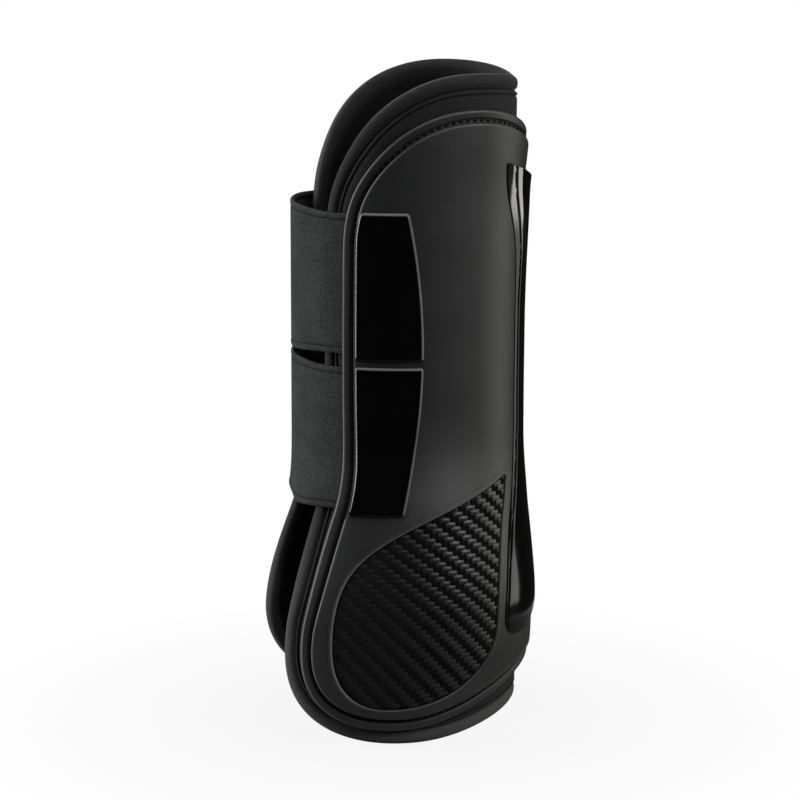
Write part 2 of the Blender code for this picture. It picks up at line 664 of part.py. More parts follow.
def strap_run(level, begin):
    """Plan of a strap at one level: from an arc on the medial side, across the front, to the tab."""
    leave = float(liner_edge_at(level)) + STRAP_LEAVE_OUT
    land = -float(shell_edge_at(level)) - STRAP_LANDING
    end = -float(tab_start_at(level))
    near_arcs = np.linspace(begin, leave, NEAR_COLUMNS)
    far_arcs = np.linspace(land, end, FAR_COLUMNS)
    near = leg_points(np.stack([near_arcs, np.full(NEAR_COLUMNS, level)], 1), STRAP_NEAR_LIFT)[:, :2]
    far = leg_points(np.stack([far_arcs, np.full(FAR_COLUMNS, level)], 1), STRAP_FAR_LIFT)[:, :2]
    front = np.array([-STRAP_FRONT_REACH, 0.0])
    across = np.array([0.0, 1.0])
    first = hermite(near[-1], near[-1] - near[-2], front, across, FRONT_COLUMNS)
    second = hermite(front, across, far[0], far[1] - far[0], FRONT_COLUMNS)
    return np.vstack([near, first[1:], second[1:], far[1:]])


def strap_split(level, low, high):
    """Arc where a strap leaves its sewn root: a straight line just outside the shell's edge."""
    ends = edge_arc_at(np.array([low, high]), SHELL_EDGE_ARC, SHELL_LOBE_ARC) + STRAP_HINGE_OUT
    return float(np.interp(level, [low, high], ends))


def band(name, finish, rows, levels, thickness, parent=None):
    """Solid band from plan lines stacked up its width: rows of plan points, levels per point."""
    rows, levels = np.array(rows), np.array(levels)
    along = np.gradient(rows, axis=1)
    out = np.stack([along[..., 1], -along[..., 0]], -1)
    out /= np.linalg.norm(out, axis=-1)[..., None]
    count, length = rows.shape[:2]
    faces_at = []
    for shift in (-thickness / 2, thickness / 2):
        faces_at.append(np.concatenate([rows + shift * out, levels[..., None]], -1).reshape(-1, 3))
    index = np.arange(count * length).reshape(count, length)
    a, b, c, d = index[:-1, :-1], index[:-1, 1:], index[1:, 1:], index[1:, :-1]
    one = np.stack([a, b, c, d], -1).reshape(-1, 4)
    ring = np.concatenate([index[0], index[1:, -1], index[-1, -2::-1], index[-2:0:-1, 0]])
    base = count * length
    walls = [(p, q, base + q, base + p) for p, q in zip(ring, np.roll(ring, -1))]
    faces = [tuple(f) for f in one] + [tuple(base + f[::-1]) for f in one]
    return make_piece(name, finish, np.vstack(faces_at), faces, walls, parent)


def strap_pieces(which, word, boot):
    """A strap's sewn root, its free run, its tab with hook patch, and the loop patch for it."""
    low, high = strap_levels(which)
    rows = np.linspace(low, high, STRAP_ROWS)
    root_rows, run_rows, root_levels, run_levels = [], [], [], []
    for level in rows:
        split = strap_split(level, low, high)
        arcs = np.linspace(float(shell_edge_at(level)) - STRAP_ROOT_LENGTH, split - FOLD_GAP, ROOT_COLUMNS)
        sewn = np.stack([arcs, np.full(ROOT_COLUMNS, level)], 1)
        root_rows.append(leg_points(sewn, STRAP_NEAR_LIFT)[:, :2])
        root_levels.append(np.full(ROOT_COLUMNS, level))
        run = strap_run(level, split)
        bulge = np.sin(np.linspace(0.0, math.pi, len(run))) ** 2
        spread = STRAP_FRONT_SPREAD * (2 * (level - low) / STRAP_WIDTH - 1)
        run_rows.append(run)
        run_levels.append(level + spread * bulge)
    # The strap swings about an upright line through its lower sewn corner, which stands furthest out
    hinge = (*run_rows[0][0], (low + high) / 2)
    pivot = empty(f"{word}_strap_hinge", hinge, boot)
    fold = (np.append(run_rows[0][-1], low) + np.append(run_rows[-1][-1], high)) / 2
    peel = empty(f"{word}_tab_hinge", fold, pivot)
    band(f"{word}_strap_root", "elastic", root_rows, root_levels, ROOT_THICKNESS, boot)
    band(f"{word}_strap", "elastic", run_rows, run_levels, STRAP_THICKNESS, pivot)
    tab = tab_outline(which, TRIM_STEP)
    sheet_piece(f"{word}_strap_tab", "gloss_plastic", (tab, TAB_OUTER), TAB_INNER, TAB_OUTER, parent=peel)
    hook = hook_outline(which, TRIM_STEP)
    hook_rim = (hook, HOOK_OUTER)
    sheet_piece(f"{word}_hook_patch", "hook_and_loop", hook_rim, HOOK_INNER, HOOK_OUTER, parent=peel)
    patch_rim = (inset(loop_outline(which, TRIM_STEP), FIT_GAP), LOOP_OUTER)
    sheet_piece(f"{word}_loop_patch", "hook_and_loop", patch_rim, LOOP_INNER, LOOP_OUTER, parent=boot)


def panel_levels(which):
    """Lower and upper edge of a gloss panel, a little past its strap's edges."""
    low, high = strap_levels(which)
    return low - PANEL_OVERRUN, high + PANEL_OVERRUN


def main():
    for old in list(bpy.data.objects):
        bpy.data.objects.remove(old)
    boot = empty("boot", (0.0, 0.0, 0.0))
    rim = shell_outline()
    flip = np.array([-1.0, 1.0])

    # Recesses in the shell's outer face, each with its floor
    guard = guard_outline(TRIM_STEP)
    pad = pad_outline(TRIM_STEP)
    panels = [panel_outline(*panel_levels(which), TRIM_STEP) for which in (0, 1)]
    patches = [loop_outline(which, TRIM_STEP) for which in (0, 1)]
    recesses = [(guard, GUARD_FLOOR), (pad, PAD_FLOOR), (pad * flip, PAD_FLOOR)]
    recesses += [(panel, PANEL_FLOOR) for panel in panels]
    recesses += [(patch, LOOP_FLOOR) for patch in patches]

    details = [
        (inset(rim, CHANNEL_INSET), FLANGE_OUTER),
        (inset(rim, CHANNEL_INSET + CHANNEL_WIDTH / 2), FLANGE_OUTER - CHANNEL_DEPTH),
        (inset(rim, CHANNEL_INSET + CHANNEL_WIDTH), FLANGE_OUTER),
        (inset(rim, STEP_INSET), FLANGE_OUTER),
        (inset(rim, STEP_INSET + STEP_DRAFT), SHELL_OUTER),
    ]
    for outline, floor in recesses:
        details.append((inset(outline, -FIT_GAP), SHELL_OUTER))
        details.append((outline, floor))
    regions = [(outline, floor) for outline, floor in recesses]
    sheet_piece(
        "outer_shell", "shell_plastic", (rim, FLANGE_OUTER), SHELL_INNER, SHELL_OUTER, details, regions, boot
    )

    # Layers under the shell
    sheet_piece("foam_insert", "foam", (foam_outline(), FOAM_OUTER), FOAM_INNER, FOAM_OUTER, parent=boot)
    lining_edge = liner_outline()
    lining = inset(lining_edge, BINDING_WIDTH + FIT_GAP)
    sheet_piece("neoprene_liner", "neoprene", (lining, LINER_OUTER), LINER_INNER, LINER_OUTER, parent=boot)
    edge_binding(lining_edge, boot)

    # Pieces set into the shell
    seat = inset(guard, FIT_GAP)
    guard_lift = GUARD_FLOOR + GLUE_LINE
    guard_top = guard_lift + GUARD_THICKNESS
    crown = [(inset(seat, GUARD_BEVEL), guard_top)]
    guard_rim = (seat, guard_lift + GUARD_EDGE)
    sheet_piece("tendon_guard", "gloss_plastic", guard_rim, guard_lift, guard_top, crown, parent=boot)
    pad_lift = PAD_FLOOR + GLUE_LINE
    for word, side in (("medial", 1.0), ("lateral", -1.0)):
        shape = inset(pad, FIT_GAP) * np.array([side, 1.0])
        pad_top = pad_lift + PAD_THICKNESS
        sheet_piece(f"{word}_strike_pad", "twill_plastic", (shape, pad_top), pad_lift, pad_top, parent=boot)
    panel_lift = PANEL_FLOOR + GLUE_LINE
    for which, word in enumerate(("lower", "upper")):
        shape = inset(panels[which], FIT_GAP)
        panel_top = panel_lift + PANEL_THICKNESS
        bevel = [(inset(shape, PANEL_BEVEL), panel_top)]
        edge = (shape, panel_top - PANEL_BEVEL)
        sheet_piece(f"{word}_side_panel", "gloss_plastic", edge, panel_lift, panel_top, bevel, parent=boot)
        strap_pieces(which, word, boot)


def edge_binding(lining_edge, boot):
    """Padded roll sewn round the liner's edge: an oval profile carried along the outline."""
    line = inset(lining_edge, BINDING_WIDTH / 2)
    middle = (LINER_OUTER + LINER_INNER) / 2
    rings = []
    for turn in np.arange(BINDING_SIDES) * 2 * math.pi / BINDING_SIDES:
        sheet = inset(line, -math.cos(turn) * BINDING_WIDTH / 2)
        rings.append(leg_points(sheet, middle + math.sin(turn) * BINDING_HEIGHT / 2))
    points = np.stack(rings, 1)
    count = len(line)
    index = np.arange(count * BINDING_SIDES).reshape(count, BINDING_SIDES)
    ahead, beside = np.roll(index, -1, 0), np.roll(index, -1, 1)
    faces = np.stack([index, ahead, np.roll(ahead, -1, 1), beside], -1).reshape(-1, 4)
    make_piece("edge_binding", "binding_fabric", points.reshape(-1, 3), [tuple(f) for f in faces], [], boot)


main()
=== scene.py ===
import math

import bpy
import numpy as np
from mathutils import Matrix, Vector


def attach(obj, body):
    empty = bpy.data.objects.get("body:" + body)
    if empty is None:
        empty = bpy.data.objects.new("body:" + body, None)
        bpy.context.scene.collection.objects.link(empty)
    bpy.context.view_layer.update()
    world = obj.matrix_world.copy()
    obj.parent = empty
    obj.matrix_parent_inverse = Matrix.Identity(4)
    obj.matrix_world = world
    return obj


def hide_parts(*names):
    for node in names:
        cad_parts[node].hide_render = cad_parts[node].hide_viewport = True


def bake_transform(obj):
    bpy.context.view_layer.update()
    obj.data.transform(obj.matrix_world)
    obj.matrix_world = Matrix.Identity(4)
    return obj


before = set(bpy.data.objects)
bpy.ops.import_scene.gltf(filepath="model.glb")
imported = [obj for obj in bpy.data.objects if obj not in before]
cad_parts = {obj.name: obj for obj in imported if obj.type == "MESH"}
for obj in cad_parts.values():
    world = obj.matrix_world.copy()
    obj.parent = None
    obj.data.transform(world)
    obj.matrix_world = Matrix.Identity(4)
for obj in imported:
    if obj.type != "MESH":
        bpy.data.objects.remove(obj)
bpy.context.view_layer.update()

print("frame loaded:", len(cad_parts), "solids")

# Sizes are in millimetres. A place on the boot is (arc, level, lift): the distance round the leg from the
# back centre line, positive to the medial side, the height above the lowest edge, and the height off the
# leg's sections. These lie just under the shell, so the liner, the roll and the foam have lifts under 0.

mm = 0.001  # in metres
stretch = 40  # points along one stretch of an outline
fitGap = 0.3  # between a piece and the recess that it sits in

leg = dict(
    levels=(0.0, 47.0, 84.0, 109.0, 194.0, 216.0, 240.0),
    back=(43.0, 45.4, 41.9, 40.5, 41.5, 43.4, 43.7),
    front=(60.0, 57.0, 45.0, 38.5, 37.0, 37.0, 37.0),
    side=(39.2, 41.9, 36.0, 32.0, 31.0, 30.7, 30.5),
)


def easeStep(t):  # rises from 0 to 1 with level ends
    t = np.clip(t, 0.0, 1.0)
    return t * t * (3.0 - 2.0 * t)


def rises(value, start, span):  # 0 up to the start, eased to 1 over the span after it
    return easeStep((value - start) / span)


def fades(value, end, span):  # eased from 1 over the span before the end, 0 past it
    return easeStep((end - value) / span)


def bell(value, centre, width):  # 1 at the centre, falling off on both sides
    return np.exp(-((value - centre) / width) ** 2)


def between(pair, share):  # from the first of a pair to the second
    return pair[0] + (pair[1] - pair[0]) * share


def unit(vectors):  # each with length 1
    return vectors / np.linalg.norm(vectors, axis=-1, keepdims=True)


def track(stations, values, at):  # monotone cubic through the values, carried on straight past the ends
    x, y = np.array(stations), np.array(values)
    width = np.diff(x)
    slope = np.diff(y) / width
    sameWay = slope[:-1] * slope[1:] > 0
    ahead, behind = 2 * width[1:] + width[:-1], width[1:] + 2 * width[:-1]
    product = (ahead + behind) * np.where(sameWay, slope[:-1] * slope[1:], 1.0)
    inner = np.where(sameWay, product / (ahead * slope[1:] + behind * slope[:-1] + 1e-30), 0)
    turn = np.concatenate([slope[:1], inner, slope[-1:]])
    at = np.asarray(at, float)
    k = np.clip(np.searchsorted(x, at) - 1, 0, len(x) - 2)
    h, u = width[k], (at - x[k]) / width[k]
    ends = (1 + 2 * u) * (1 - u) ** 2 * y[k] + u * u * (3 - 2 * u) * y[k + 1]
    curve = ends + h * u * (1 - u) ** 2 * turn[k] - h * u * u * (1 - u) * turn[k + 1]
    past = np.where(u < 0, y[0] + turn[0] * (at - x[0]), y[-1] + turn[-1] * (at - x[-1]))
    return np.where((u < 0) | (u > 1), past, curve)


def legSection(level):  # centre, half depth and half width of the elliptical section
    back, front, side = (track(leg["levels"], leg[k], level) for k in ("back", "front", "side"))
    return (back - front) / 2, (back + front) / 2, side


sampleAt, sampleWeight = np.polynomial.legendre.leggauss(16)


def arcLength(turn, depth, side):  # length of the ellipse from the back, its speed summed at weighted places
    part = turn[..., None] * (sampleAt + 1) / 2
    speed = np.hypot(depth[..., None] * np.sin(part), side[..., None] * np.cos(part))
    return turn / 2 * (speed @ sampleWeight)


def onLeg(arc, level, lift):
    # walk the arc round the section's ellipse, by repeated steps on its length, then step out square to it
    arc, level, lift = np.broadcast_arrays(*(np.asarray(v, float) for v in (arc, level, lift)))
    centre, depth, side = legSection(level)
    reach = np.abs(arc)
    turn = 2 * reach / (depth + side)
    for step in range(6):
        speed = np.hypot(depth * np.sin(turn), side * np.cos(turn))
        turn = turn - (arcLength(turn, depth, side) - reach) / speed
    turn = np.copysign(turn, arc)
    outX, outY = np.cos(turn) / depth, -np.sin(turn) / side
    size = np.hypot(outX, outY)
    x = centre + depth * np.cos(turn) + lift * outX / size
    y = -side * np.sin(turn) + lift * outY / size
    return np.stack([x, y, level], -1)


def arcAtX(x, level):  # arc at which the leg's section passes a given x
    centre, depth, side = legSection(level)
    return arcLength(np.arccos((x - centre) / depth), depth, side)


# Outlines on the flat sheet

shell = dict(
    top=227.7, backTop=215.0, crestArc=37.0, edgeArc=80.8, edgeTop=180.0, edgeBottom=109.0,
    lobeArc=107.3, lobeLevel=39.0, bottom=6.4, bottomArc=68.0, backBottom=25.0,
    soften=3.0, fullness=2.4, grid=(140, 150),
)
liner = dict(
    top=239.7, backTop=235.5, edgeArc=91.6, lobeArc=117.1, bottom=0.0, bottomArc=61.5, backBottom=8.0,
    edgeReach=3.8, lobeReach=6.2, lateralShoulder=2.25, lateralLobe=1.8,
    darkBelow=(45, 30), darkAbove=(205, 30), lighter=0.75,
)


def spreadEvenly(line, count=None, step=None):  # points along a line, by count or by step, without its end
    run = np.concatenate([[0], np.cumsum(np.hypot(*np.diff(line, axis=0).T))])
    at = np.linspace(0, run[-1], count or int(round(run[-1] / step)), endpoint=False)
    return np.stack([np.interp(at, run, line[:, k]) for k in (0, 1)], 1)


def evenLoop(loop, step):  # closed loop with points about a step apart
    return spreadEvenly(np.vstack([loop, loop[:1]]), step=step)


def softLoop(loop, reach, step=0.4):  # corners rounded by a moving average along the loop
    fine = evenLoop(loop, step)
    half = int(3 * reach / step)
    weight = np.exp(-0.5 * (np.arange(-half, half + 1) * step / reach) ** 2)
    wrapped = np.vstack([fine[-half:], fine, fine[:half]])
    return np.stack([np.convolve(wrapped[:, k], weight / weight.sum(), "valid") for k in (0, 1)], 1)


def insetLoop(loop, distance):  # every point moved inwards, square to the loop
    along = unit(np.roll(loop, -1, 0) - np.roll(loop, 1, 0))
    x, y = loop.T
    turning = np.sign(np.sum(x * np.roll(y, -1) - y * np.roll(x, -1)))
    return loop + distance * turning * np.stack([-along[:, 1], along[:, 0]], 1)


def quarterTurn(centre, start, end, fullness=2.0):  # quarter of a super-ellipse about a centre
    t = np.linspace(0, math.pi / 2, stretch)[:, None]
    centre, start, end = (np.array(p, float) for p in (centre, start, end))
    power = 2.0 / fullness
    return centre + (start - centre) * np.cos(t) ** power + (end - centre) * np.sin(t) ** power


def bothSides(medial, lateral):  # whole loop from its halves, both drawn on the medial side
    return np.vstack([medial, lateral[-2:0:-1] * [-1, 1]])


def flareArc(level, edge, lobe):  # front edge: straight up the cannon, S-shaped down to the fetlock
    return between((edge, lobe), fades(level, shell["edgeBottom"], shell["edgeBottom"] - shell["lobeLevel"]))


def shellEdge(level):  # arc of the shell's front edge, drawn back along the shoulder
    climb = np.clip((np.asarray(level, float) - shell["edgeTop"]) / (shell["top"] - shell["edgeTop"]), 0, 1)
    drawnBack = (shell["edgeArc"] - shell["crestArc"]) * (1 - np.sqrt(1 - climb**2))
    return flareArc(level, shell["edgeArc"], shell["lobeArc"]) - drawnBack


def insideEdge(level, distance):  # arc of a line that keeps a distance from the shell's front edge
    levels = np.linspace(shell["lobeLevel"], shell["top"], 6 * stretch)
    arcs = shellEdge(levels)
    lean = np.gradient(arcs, levels)
    length = np.hypot(1, lean)
    return np.interp(level, levels + distance * lean / length, arcs - distance / length)


def bootHalf(size, edge, lobe, shoulderFullness, lobeFullness):
    # dipped top, round shoulder, straight edge, flare, lobe and raised heel
    t = np.linspace(0, 1, stretch)
    crest, edgeTop, lobeLevel = shell["crestArc"], shell["edgeTop"], shell["lobeLevel"]
    dip = np.stack([t * crest, size["top"] - (size["top"] - size["backTop"]) * (1 - t) ** 2], 1)
    shoulder = quarterTurn((crest, edgeTop), (crest, size["top"]), (edge, edgeTop), shoulderFullness)
    levels = np.linspace(shell["edgeBottom"], lobeLevel, stretch)
    flare = np.stack([flareArc(levels, edge, lobe), levels], 1)
    low = (size["bottomArc"], size["bottom"])
    fetlock = quarterTurn((size["bottomArc"], lobeLevel), (lobe, lobeLevel), low, lobeFullness)
    heelLevels = between((size["bottom"], size["backBottom"]), easeStep(t))
    heel = np.stack([size["bottomArc"] * (1 - t), heelLevels], 1)
    return np.vstack([dip, shoulder[1:], flare, fetlock[1:], heel[1:]])


def bootLoop(size):  # medial half, and the lateral half with its own reach and fullness
    edge, lobe = size["edgeArc"], size["lobeArc"]
    medial = bootHalf(size, edge, lobe, 2.0, shell["fullness"])
    lateral = medial
    if "edgeReach" in size:
        edge, lobe = edge + size["edgeReach"], lobe + size["lobeReach"]
        lateral = bootHalf(size, edge, lobe, size["lateralShoulder"], size["lateralLobe"])
    return softLoop(bothSides(medial, lateral), shell["soften"])


def ringOnSides(loop, corners, grid):  # loop cut at four corners, points spread evenly along each side
    def places(line):
        return [int(np.argmin(np.hypot(*(line - c).T))) for c in np.array(corners)]
    at = places(loop)
    if (at[1] - at[0]) % len(loop) > (at[2] - at[0]) % len(loop):
        loop = loop[::-1]
        at = places(loop)
    sides = []
    for a, b, count in zip(at, at[1:] + at[:1], grid * 2):
        side = loop[(a + np.arange((b - a) % len(loop) + 1)) % len(loop)]
        sides.append(spreadEvenly(side, count))
    return np.vstack(sides)


def bootRing(size, grid):  # boot outline cut half way round both lobes and both shoulders
    halfWay = math.sqrt(0.5)
    lowArc = between((size["bottomArc"], size["lobeArc"]), halfWay)
    lowLevel = between((shell["lobeLevel"], size["bottom"]), halfWay)
    topArc = between((shell["crestArc"], size["edgeArc"]), halfWay)
    topLevel = between((shell["edgeTop"], size["top"]), halfWay)
    corners = [(-lowArc, lowLevel), (lowArc, lowLevel), (topArc, topLevel), (-topArc, topLevel)]
    return ringOnSides(bootLoop(size), corners, grid)


def patchGrid(ring, grid):
    # sum of the blends between opposite sides, less the blend of the four corners
    nu, nv = grid
    ring = np.vstack([ring, ring[:1]])
    south, east = ring[:nu + 1], ring[nu:nu + nv + 1]
    north, west = ring[nu + nv:2 * nu + nv + 1][::-1], ring[2 * nu + nv:][::-1]
    u, v = np.linspace(0, 1, nu + 1)[None, :, None], np.linspace(0, 1, nv + 1)[:, None, None]
    across = (1 - u) * west[:, None] + u * east[:, None]
    up = (1 - v) * south[None] + v * north[None]
    corners = (1 - v) * ((1 - u) * south[0] + u * south[-1]) + v * ((1 - u) * north[0] + u * north[-1])
    return across + up - corners


def insideLoop(points, loop):  # which points a closed loop holds
    x, y = points[:, :1], points[:, 1:]
    (x0, y0), (x1, y1) = loop.T, np.roll(loop, -1, 0).T
    rise = np.where(y1 == y0, 1e-12, y1 - y0)
    return ((((y0 > y) != (y1 > y)) & (x < (x1 - x0) * (y - y0) / rise + x0)).sum(1) % 2) == 1


def depthInLoop(points, loop):  # distance to the loop, positive inside
    away = np.min(np.hypot(points[:, :1] - loop[:, 0], points[:, 1:] - loop[:, 1]), axis=1)
    return np.where(insideLoop(points, loop), away, -away)


# Meshes


def makePiece(name, points, faces, sheet, sharp, marks=None):
    # closed body from points in millimetres and rows of quads, turned to face outwards by its signed volume
    points = np.asarray(points, float).reshape(-1, 3) * mm
    faces = np.asarray(faces, int).reshape(-1, 4)
    a, b, c, d = (points[faces[:, k]] for k in range(4))
    if np.sum(np.cross(a, b) * c) + np.sum(np.cross(a, c) * d) < 0:
        faces = faces[:, ::-1]
    mesh = bpy.data.meshes.new(name)
    mesh.vertices.add(len(points))
    mesh.vertices.foreach_set("co", points.ravel())
    mesh.loops.add(faces.size)
    mesh.loops.foreach_set("vertex_index", faces.ravel().astype(np.int32))
    mesh.polygons.add(len(faces))
    mesh.polygons.foreach_set("loop_start", np.arange(0, faces.size, 4, dtype=np.int32))
    mesh.update(calc_edges=True)
    mesh.validate()
    places = np.asarray(sheet, np.float32).reshape(-1, 2)  # on the sheet, for patterns on the surface
    mesh.uv_layers.new(name="sheet").data.foreach_set("uv", places[faces.ravel()].ravel())
    if marks is not None:  # above 0 for painted highlights on crests and for polish, below 0 for painted shade in grooves
        layer = mesh.attributes.new("edge", "FLOAT", "POINT")
        layer.data.foreach_set("value", np.asarray(marks, np.float32).ravel())
    mesh.shade_smooth()
    mesh.set_sharp_from_angle(angle=math.radians(sharp))
    piece = bpy.data.objects.new(name, mesh)
    bpy.context.scene.collection.objects.link(piece)
    return piece


def finishPiece(piece, material, slot, body, *nodes):  # looks, body and the solids it stands for; the slot is not used
    piece.data.materials.append(material)
    if body:
        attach(piece, body)
    if nodes:
        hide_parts(*nodes)


def gridFaces(rows, columns):  # quads of a grid numbered row by row
    index = np.arange(rows * columns).reshape(rows, columns)
    return np.stack([index[:-1, :-1], index[:-1, 1:], index[1:, 1:], index[1:, :-1]], -1).reshape(-1, 4)


def ringFaces(inner, outer):  # quads between two closed rings of point numbers
    return np.stack([inner, np.roll(inner, -1), np.roll(outer, -1), outer], -1)


def tubeFaces(index):  # quads round a tube, from rows of point numbers
    beside = np.roll(index, -1, 1)
    return np.stack([index[:-1], index[1:], beside[1:], beside[:-1]], -1).reshape(-1, 4)


def markRow(marks, count):  # marks along a profile, from pairs of row and mark
    return np.interp(np.arange(count), *np.array(marks, float).T)


def frontShare(loop, least):  # edges that face the front get the most painted highlight
    out = insetLoop(loop, -1.0) - loop
    return between((least, 1.0), np.clip(out[:, 0] * np.sign(loop[:, 0]), 0, 1) ** 1.5)


def sheetBody(name, ring, grid, profile, relief=None, sharp=40.0,
              marks=None, share=1.0, paintedShade=1.0, faceMarks=None, deep=None):
    # outer grid, then the profile of (inset, lift) carried round the outline, then the inner grid
    nu, nv = grid
    profile = np.array(profile, float)
    outer, inner = (patchGrid(insetLoop(ring, profile[k, 0]), grid).reshape(-1, 2) for k in (0, -1))
    rims = [insetLoop(ring, inset) for inset in profile[1:-1, 0]]
    size, last = len(outer), len(outer) + len(rims) * len(ring)
    outerLift = np.full(size, profile[0, 1])
    if relief is not None:
        outerLift = relief(outer, outerLift)
    lift = np.concatenate([outerLift, np.repeat(profile[1:-1, 1], len(ring)), np.full(size, profile[-1, 1])])
    sheet = np.vstack([outer, *rims, inner])
    index = np.arange(size).reshape(nv + 1, nu + 1)
    border = np.concatenate([index[0, :-1], index[:-1, -1], index[-1, :0:-1], index[:0:-1, 0]])
    rows = [border, *np.arange(size, last).reshape(len(rims), len(ring)), last + border]
    flat = gridFaces(nv + 1, nu + 1)
    around = [ringFaces(b, a) for a, b in zip(rows, rows[1:])]
    faces = np.vstack([flat, *around, last + flat[:, ::-1]])
    if marks is not None:
        marks = markRow(marks, len(profile))
        # crest marks are painted highlights, groove marks are painted shade
        crests, grooves = np.maximum(marks[1:-1, None], 0), np.minimum(marks[1:-1, None], 0)
        rimMarks = np.zeros((len(rims), len(ring))) + crests * share + grooves * paintedShade
        face = np.full(size, marks[0]) if faceMarks is None else faceMarks(outer)
        back = np.full(size, marks[-1]) if deep is None else deep(inner)
        marks = np.concatenate([face, rimMarks.ravel(), back])
    return makePiece(name, onLeg(*sheet.T, lift), faces, sheet, sharp, marks)


def rimTube(name, loop, profile, sharp, marks):
    # closed profile of (inset, lift) carried round a closed loop
    profile = np.array(profile, float)
    sheet = np.stack([insetLoop(loop, inset) for inset in profile[:, 0]], 1)
    index = np.arange(len(loop) * len(profile)).reshape(len(loop), -1)
    faces = tubeFaces(np.vstack([index, index[:1]]))
    return makePiece(name, onLeg(sheet[..., 0], sheet[..., 1], profile[:, 1]), faces, sheet, sharp, marks)


def stitchLine(name, line, lift, thread, body):
    # round threads laid end to end along a line on the sheet: bars that swell in the middle and arch off it
    rings, sides = 7, 6
    step = 0.2 * unit(np.gradient(line, axis=0))
    places = onLeg(*line.T, lift)
    way = unit(onLeg(*(line + step).T, lift) - onLeg(*(line - step).T, lift))
    out = onLeg(*line.T, lift + 1) - places
    side = np.cross(way, out)
    places, way, out, side = (v[:, None, None, :] for v in (places, way, out, side))
    t = np.linspace(-1, 1, rings)[:, None, None]
    turn = (np.arange(sides) * 2 * math.pi / sides)[:, None]
    swell = thread["thick"] / 2 * np.sqrt(np.clip(1.04 - t**2, 0.05, 1))  # blunt at both ends
    bow = thread["arch"] * (1 - t**2)
    points = places + way * (t * thread["length"] / 2) + out * (bow + swell * np.cos(turn))
    points = points + side * swell * np.sin(turn)
    index = np.arange(rings * sides).reshape(rings, sides)
    ends = np.stack([index[0], index[-1, ::-1]])[:, [[0, 1, 2, 3], [0, 3, 4, 5]]].reshape(-1, 4)
    faces = np.vstack([tubeFaces(index), ends]) + index.size * np.arange(len(line))[:, None, None]
    along = thread["length"] * (np.arange(len(line))[:, None, None] + np.linspace(0, 1, rings)[:, None])
    sheet = np.stack(np.broadcast_arrays(along, 0.15 * np.arange(sides)), -1)
    finishPiece(makePiece(name, points, faces, sheet, 80), blackThread, "binding", body)


# Materials: shared effects are node groups, constant values stay on the shader's own sockets

cloudBand = (0.3, 0.7)  # from the darkest to the lightest of a cloudy noise
fleckBand = (0.4, 0.62)  # the same for the fibres of a cloth


def setInput(tree, socket, value):  # a constant on a socket, or a link into it
    if isinstance(value, bpy.types.NodeSocket):
        tree.links.new(value, socket)
    else:
        socket.default_value = value


def addNode(tree, kind, **values):  # node with its properties and named inputs set
    node = tree.nodes.new("ShaderNode" + kind)
    for key, value in values.items():
        if hasattr(node, key):
            setattr(node, key, value)
        else:
            setInput(tree, node.inputs[key.replace("_", " ")], value)
    return node


def mathNode(tree, operation, *terms):  # one sum on sockets or numbers
    node = addNode(tree, "Math", operation=operation)
    for socket, term in zip(node.inputs, terms):
        setInput(tree, socket, term)
    return node.outputs[0]


def mixColors(tree, factor, first, second):  # blend of two colours
    mix = addNode(tree, "Mix", data_type="RGBA", Factor=factor)
    setInput(tree, mix.inputs[6], first)
    setInput(tree, mix.inputs[7], second)
    return mix.outputs[2]


def mixShaders(tree, factor, first, second, end):  # blend of two shaders, into the tree's output
    mix = addNode(tree, "MixShader", Fac=factor)
    setInput(tree, mix.inputs[1], first.outputs[0])
    setInput(tree, mix.inputs[2], second.outputs[0])
    setInput(tree, tree.nodes[end].inputs["Surface"], mix.outputs[0])


def shadeBetween(tree, factor, low, high, dark, light):  # colour ramp over a mask
    ramp = addNode(tree, "ValToRGB", Fac=factor)
    for element, position, color in zip(ramp.color_ramp.elements, (low, high), (dark, light)):
        element.position, element.color = position, (*color, 1)
    return ramp.outputs["Color"]


def spreadBetween(tree, factor, low, high, first, last):  # number that follows a mask
    spread = addNode(tree, "MapRange", Value=factor, From_Min=low, From_Max=high, To_Min=first, To_Max=last)
    return spread.outputs["Result"]


def newGroup(name, inputs, outputs):  # group tree, with what it is given and what it gives
    tree = bpy.data.node_groups.new(name, "ShaderNodeTree")
    for way, sockets in (("INPUT", inputs), ("OUTPUT", outputs)):
        for label, kind in sockets.items():
            tree.interface.new_socket(name=label, in_out=way, socket_type="NodeSocket" + kind)
    return tree, tree.nodes.new("NodeGroupInput").outputs, tree.nodes.new("NodeGroupOutput").inputs


def mouldGrainGroup():  # fine pebble of a moulded skin, with slow cloudy variation
    inputs = {"Vector": "Vector", "Scale": "Float", "Cloud Scale": "Float"}
    tree, given, gives = newGroup("mouldGrain", inputs, {"Height": "Float", "Cloud": "Float"})
    pebble = addNode(tree, "TexVoronoi", feature="SMOOTH_F1", Smoothness=0.6, Scale=given["Scale"])
    cloud = addNode(tree, "TexNoise", Detail=3.0, Roughness=0.55, Scale=given["Cloud Scale"])
    for noise in (pebble, cloud):
        setInput(tree, noise.inputs["Vector"], given["Vector"])
    setInput(tree, gives["Height"], pebble.outputs["Distance"])
    setInput(tree, gives["Cloud"], cloud.outputs["Fac"])
    return tree


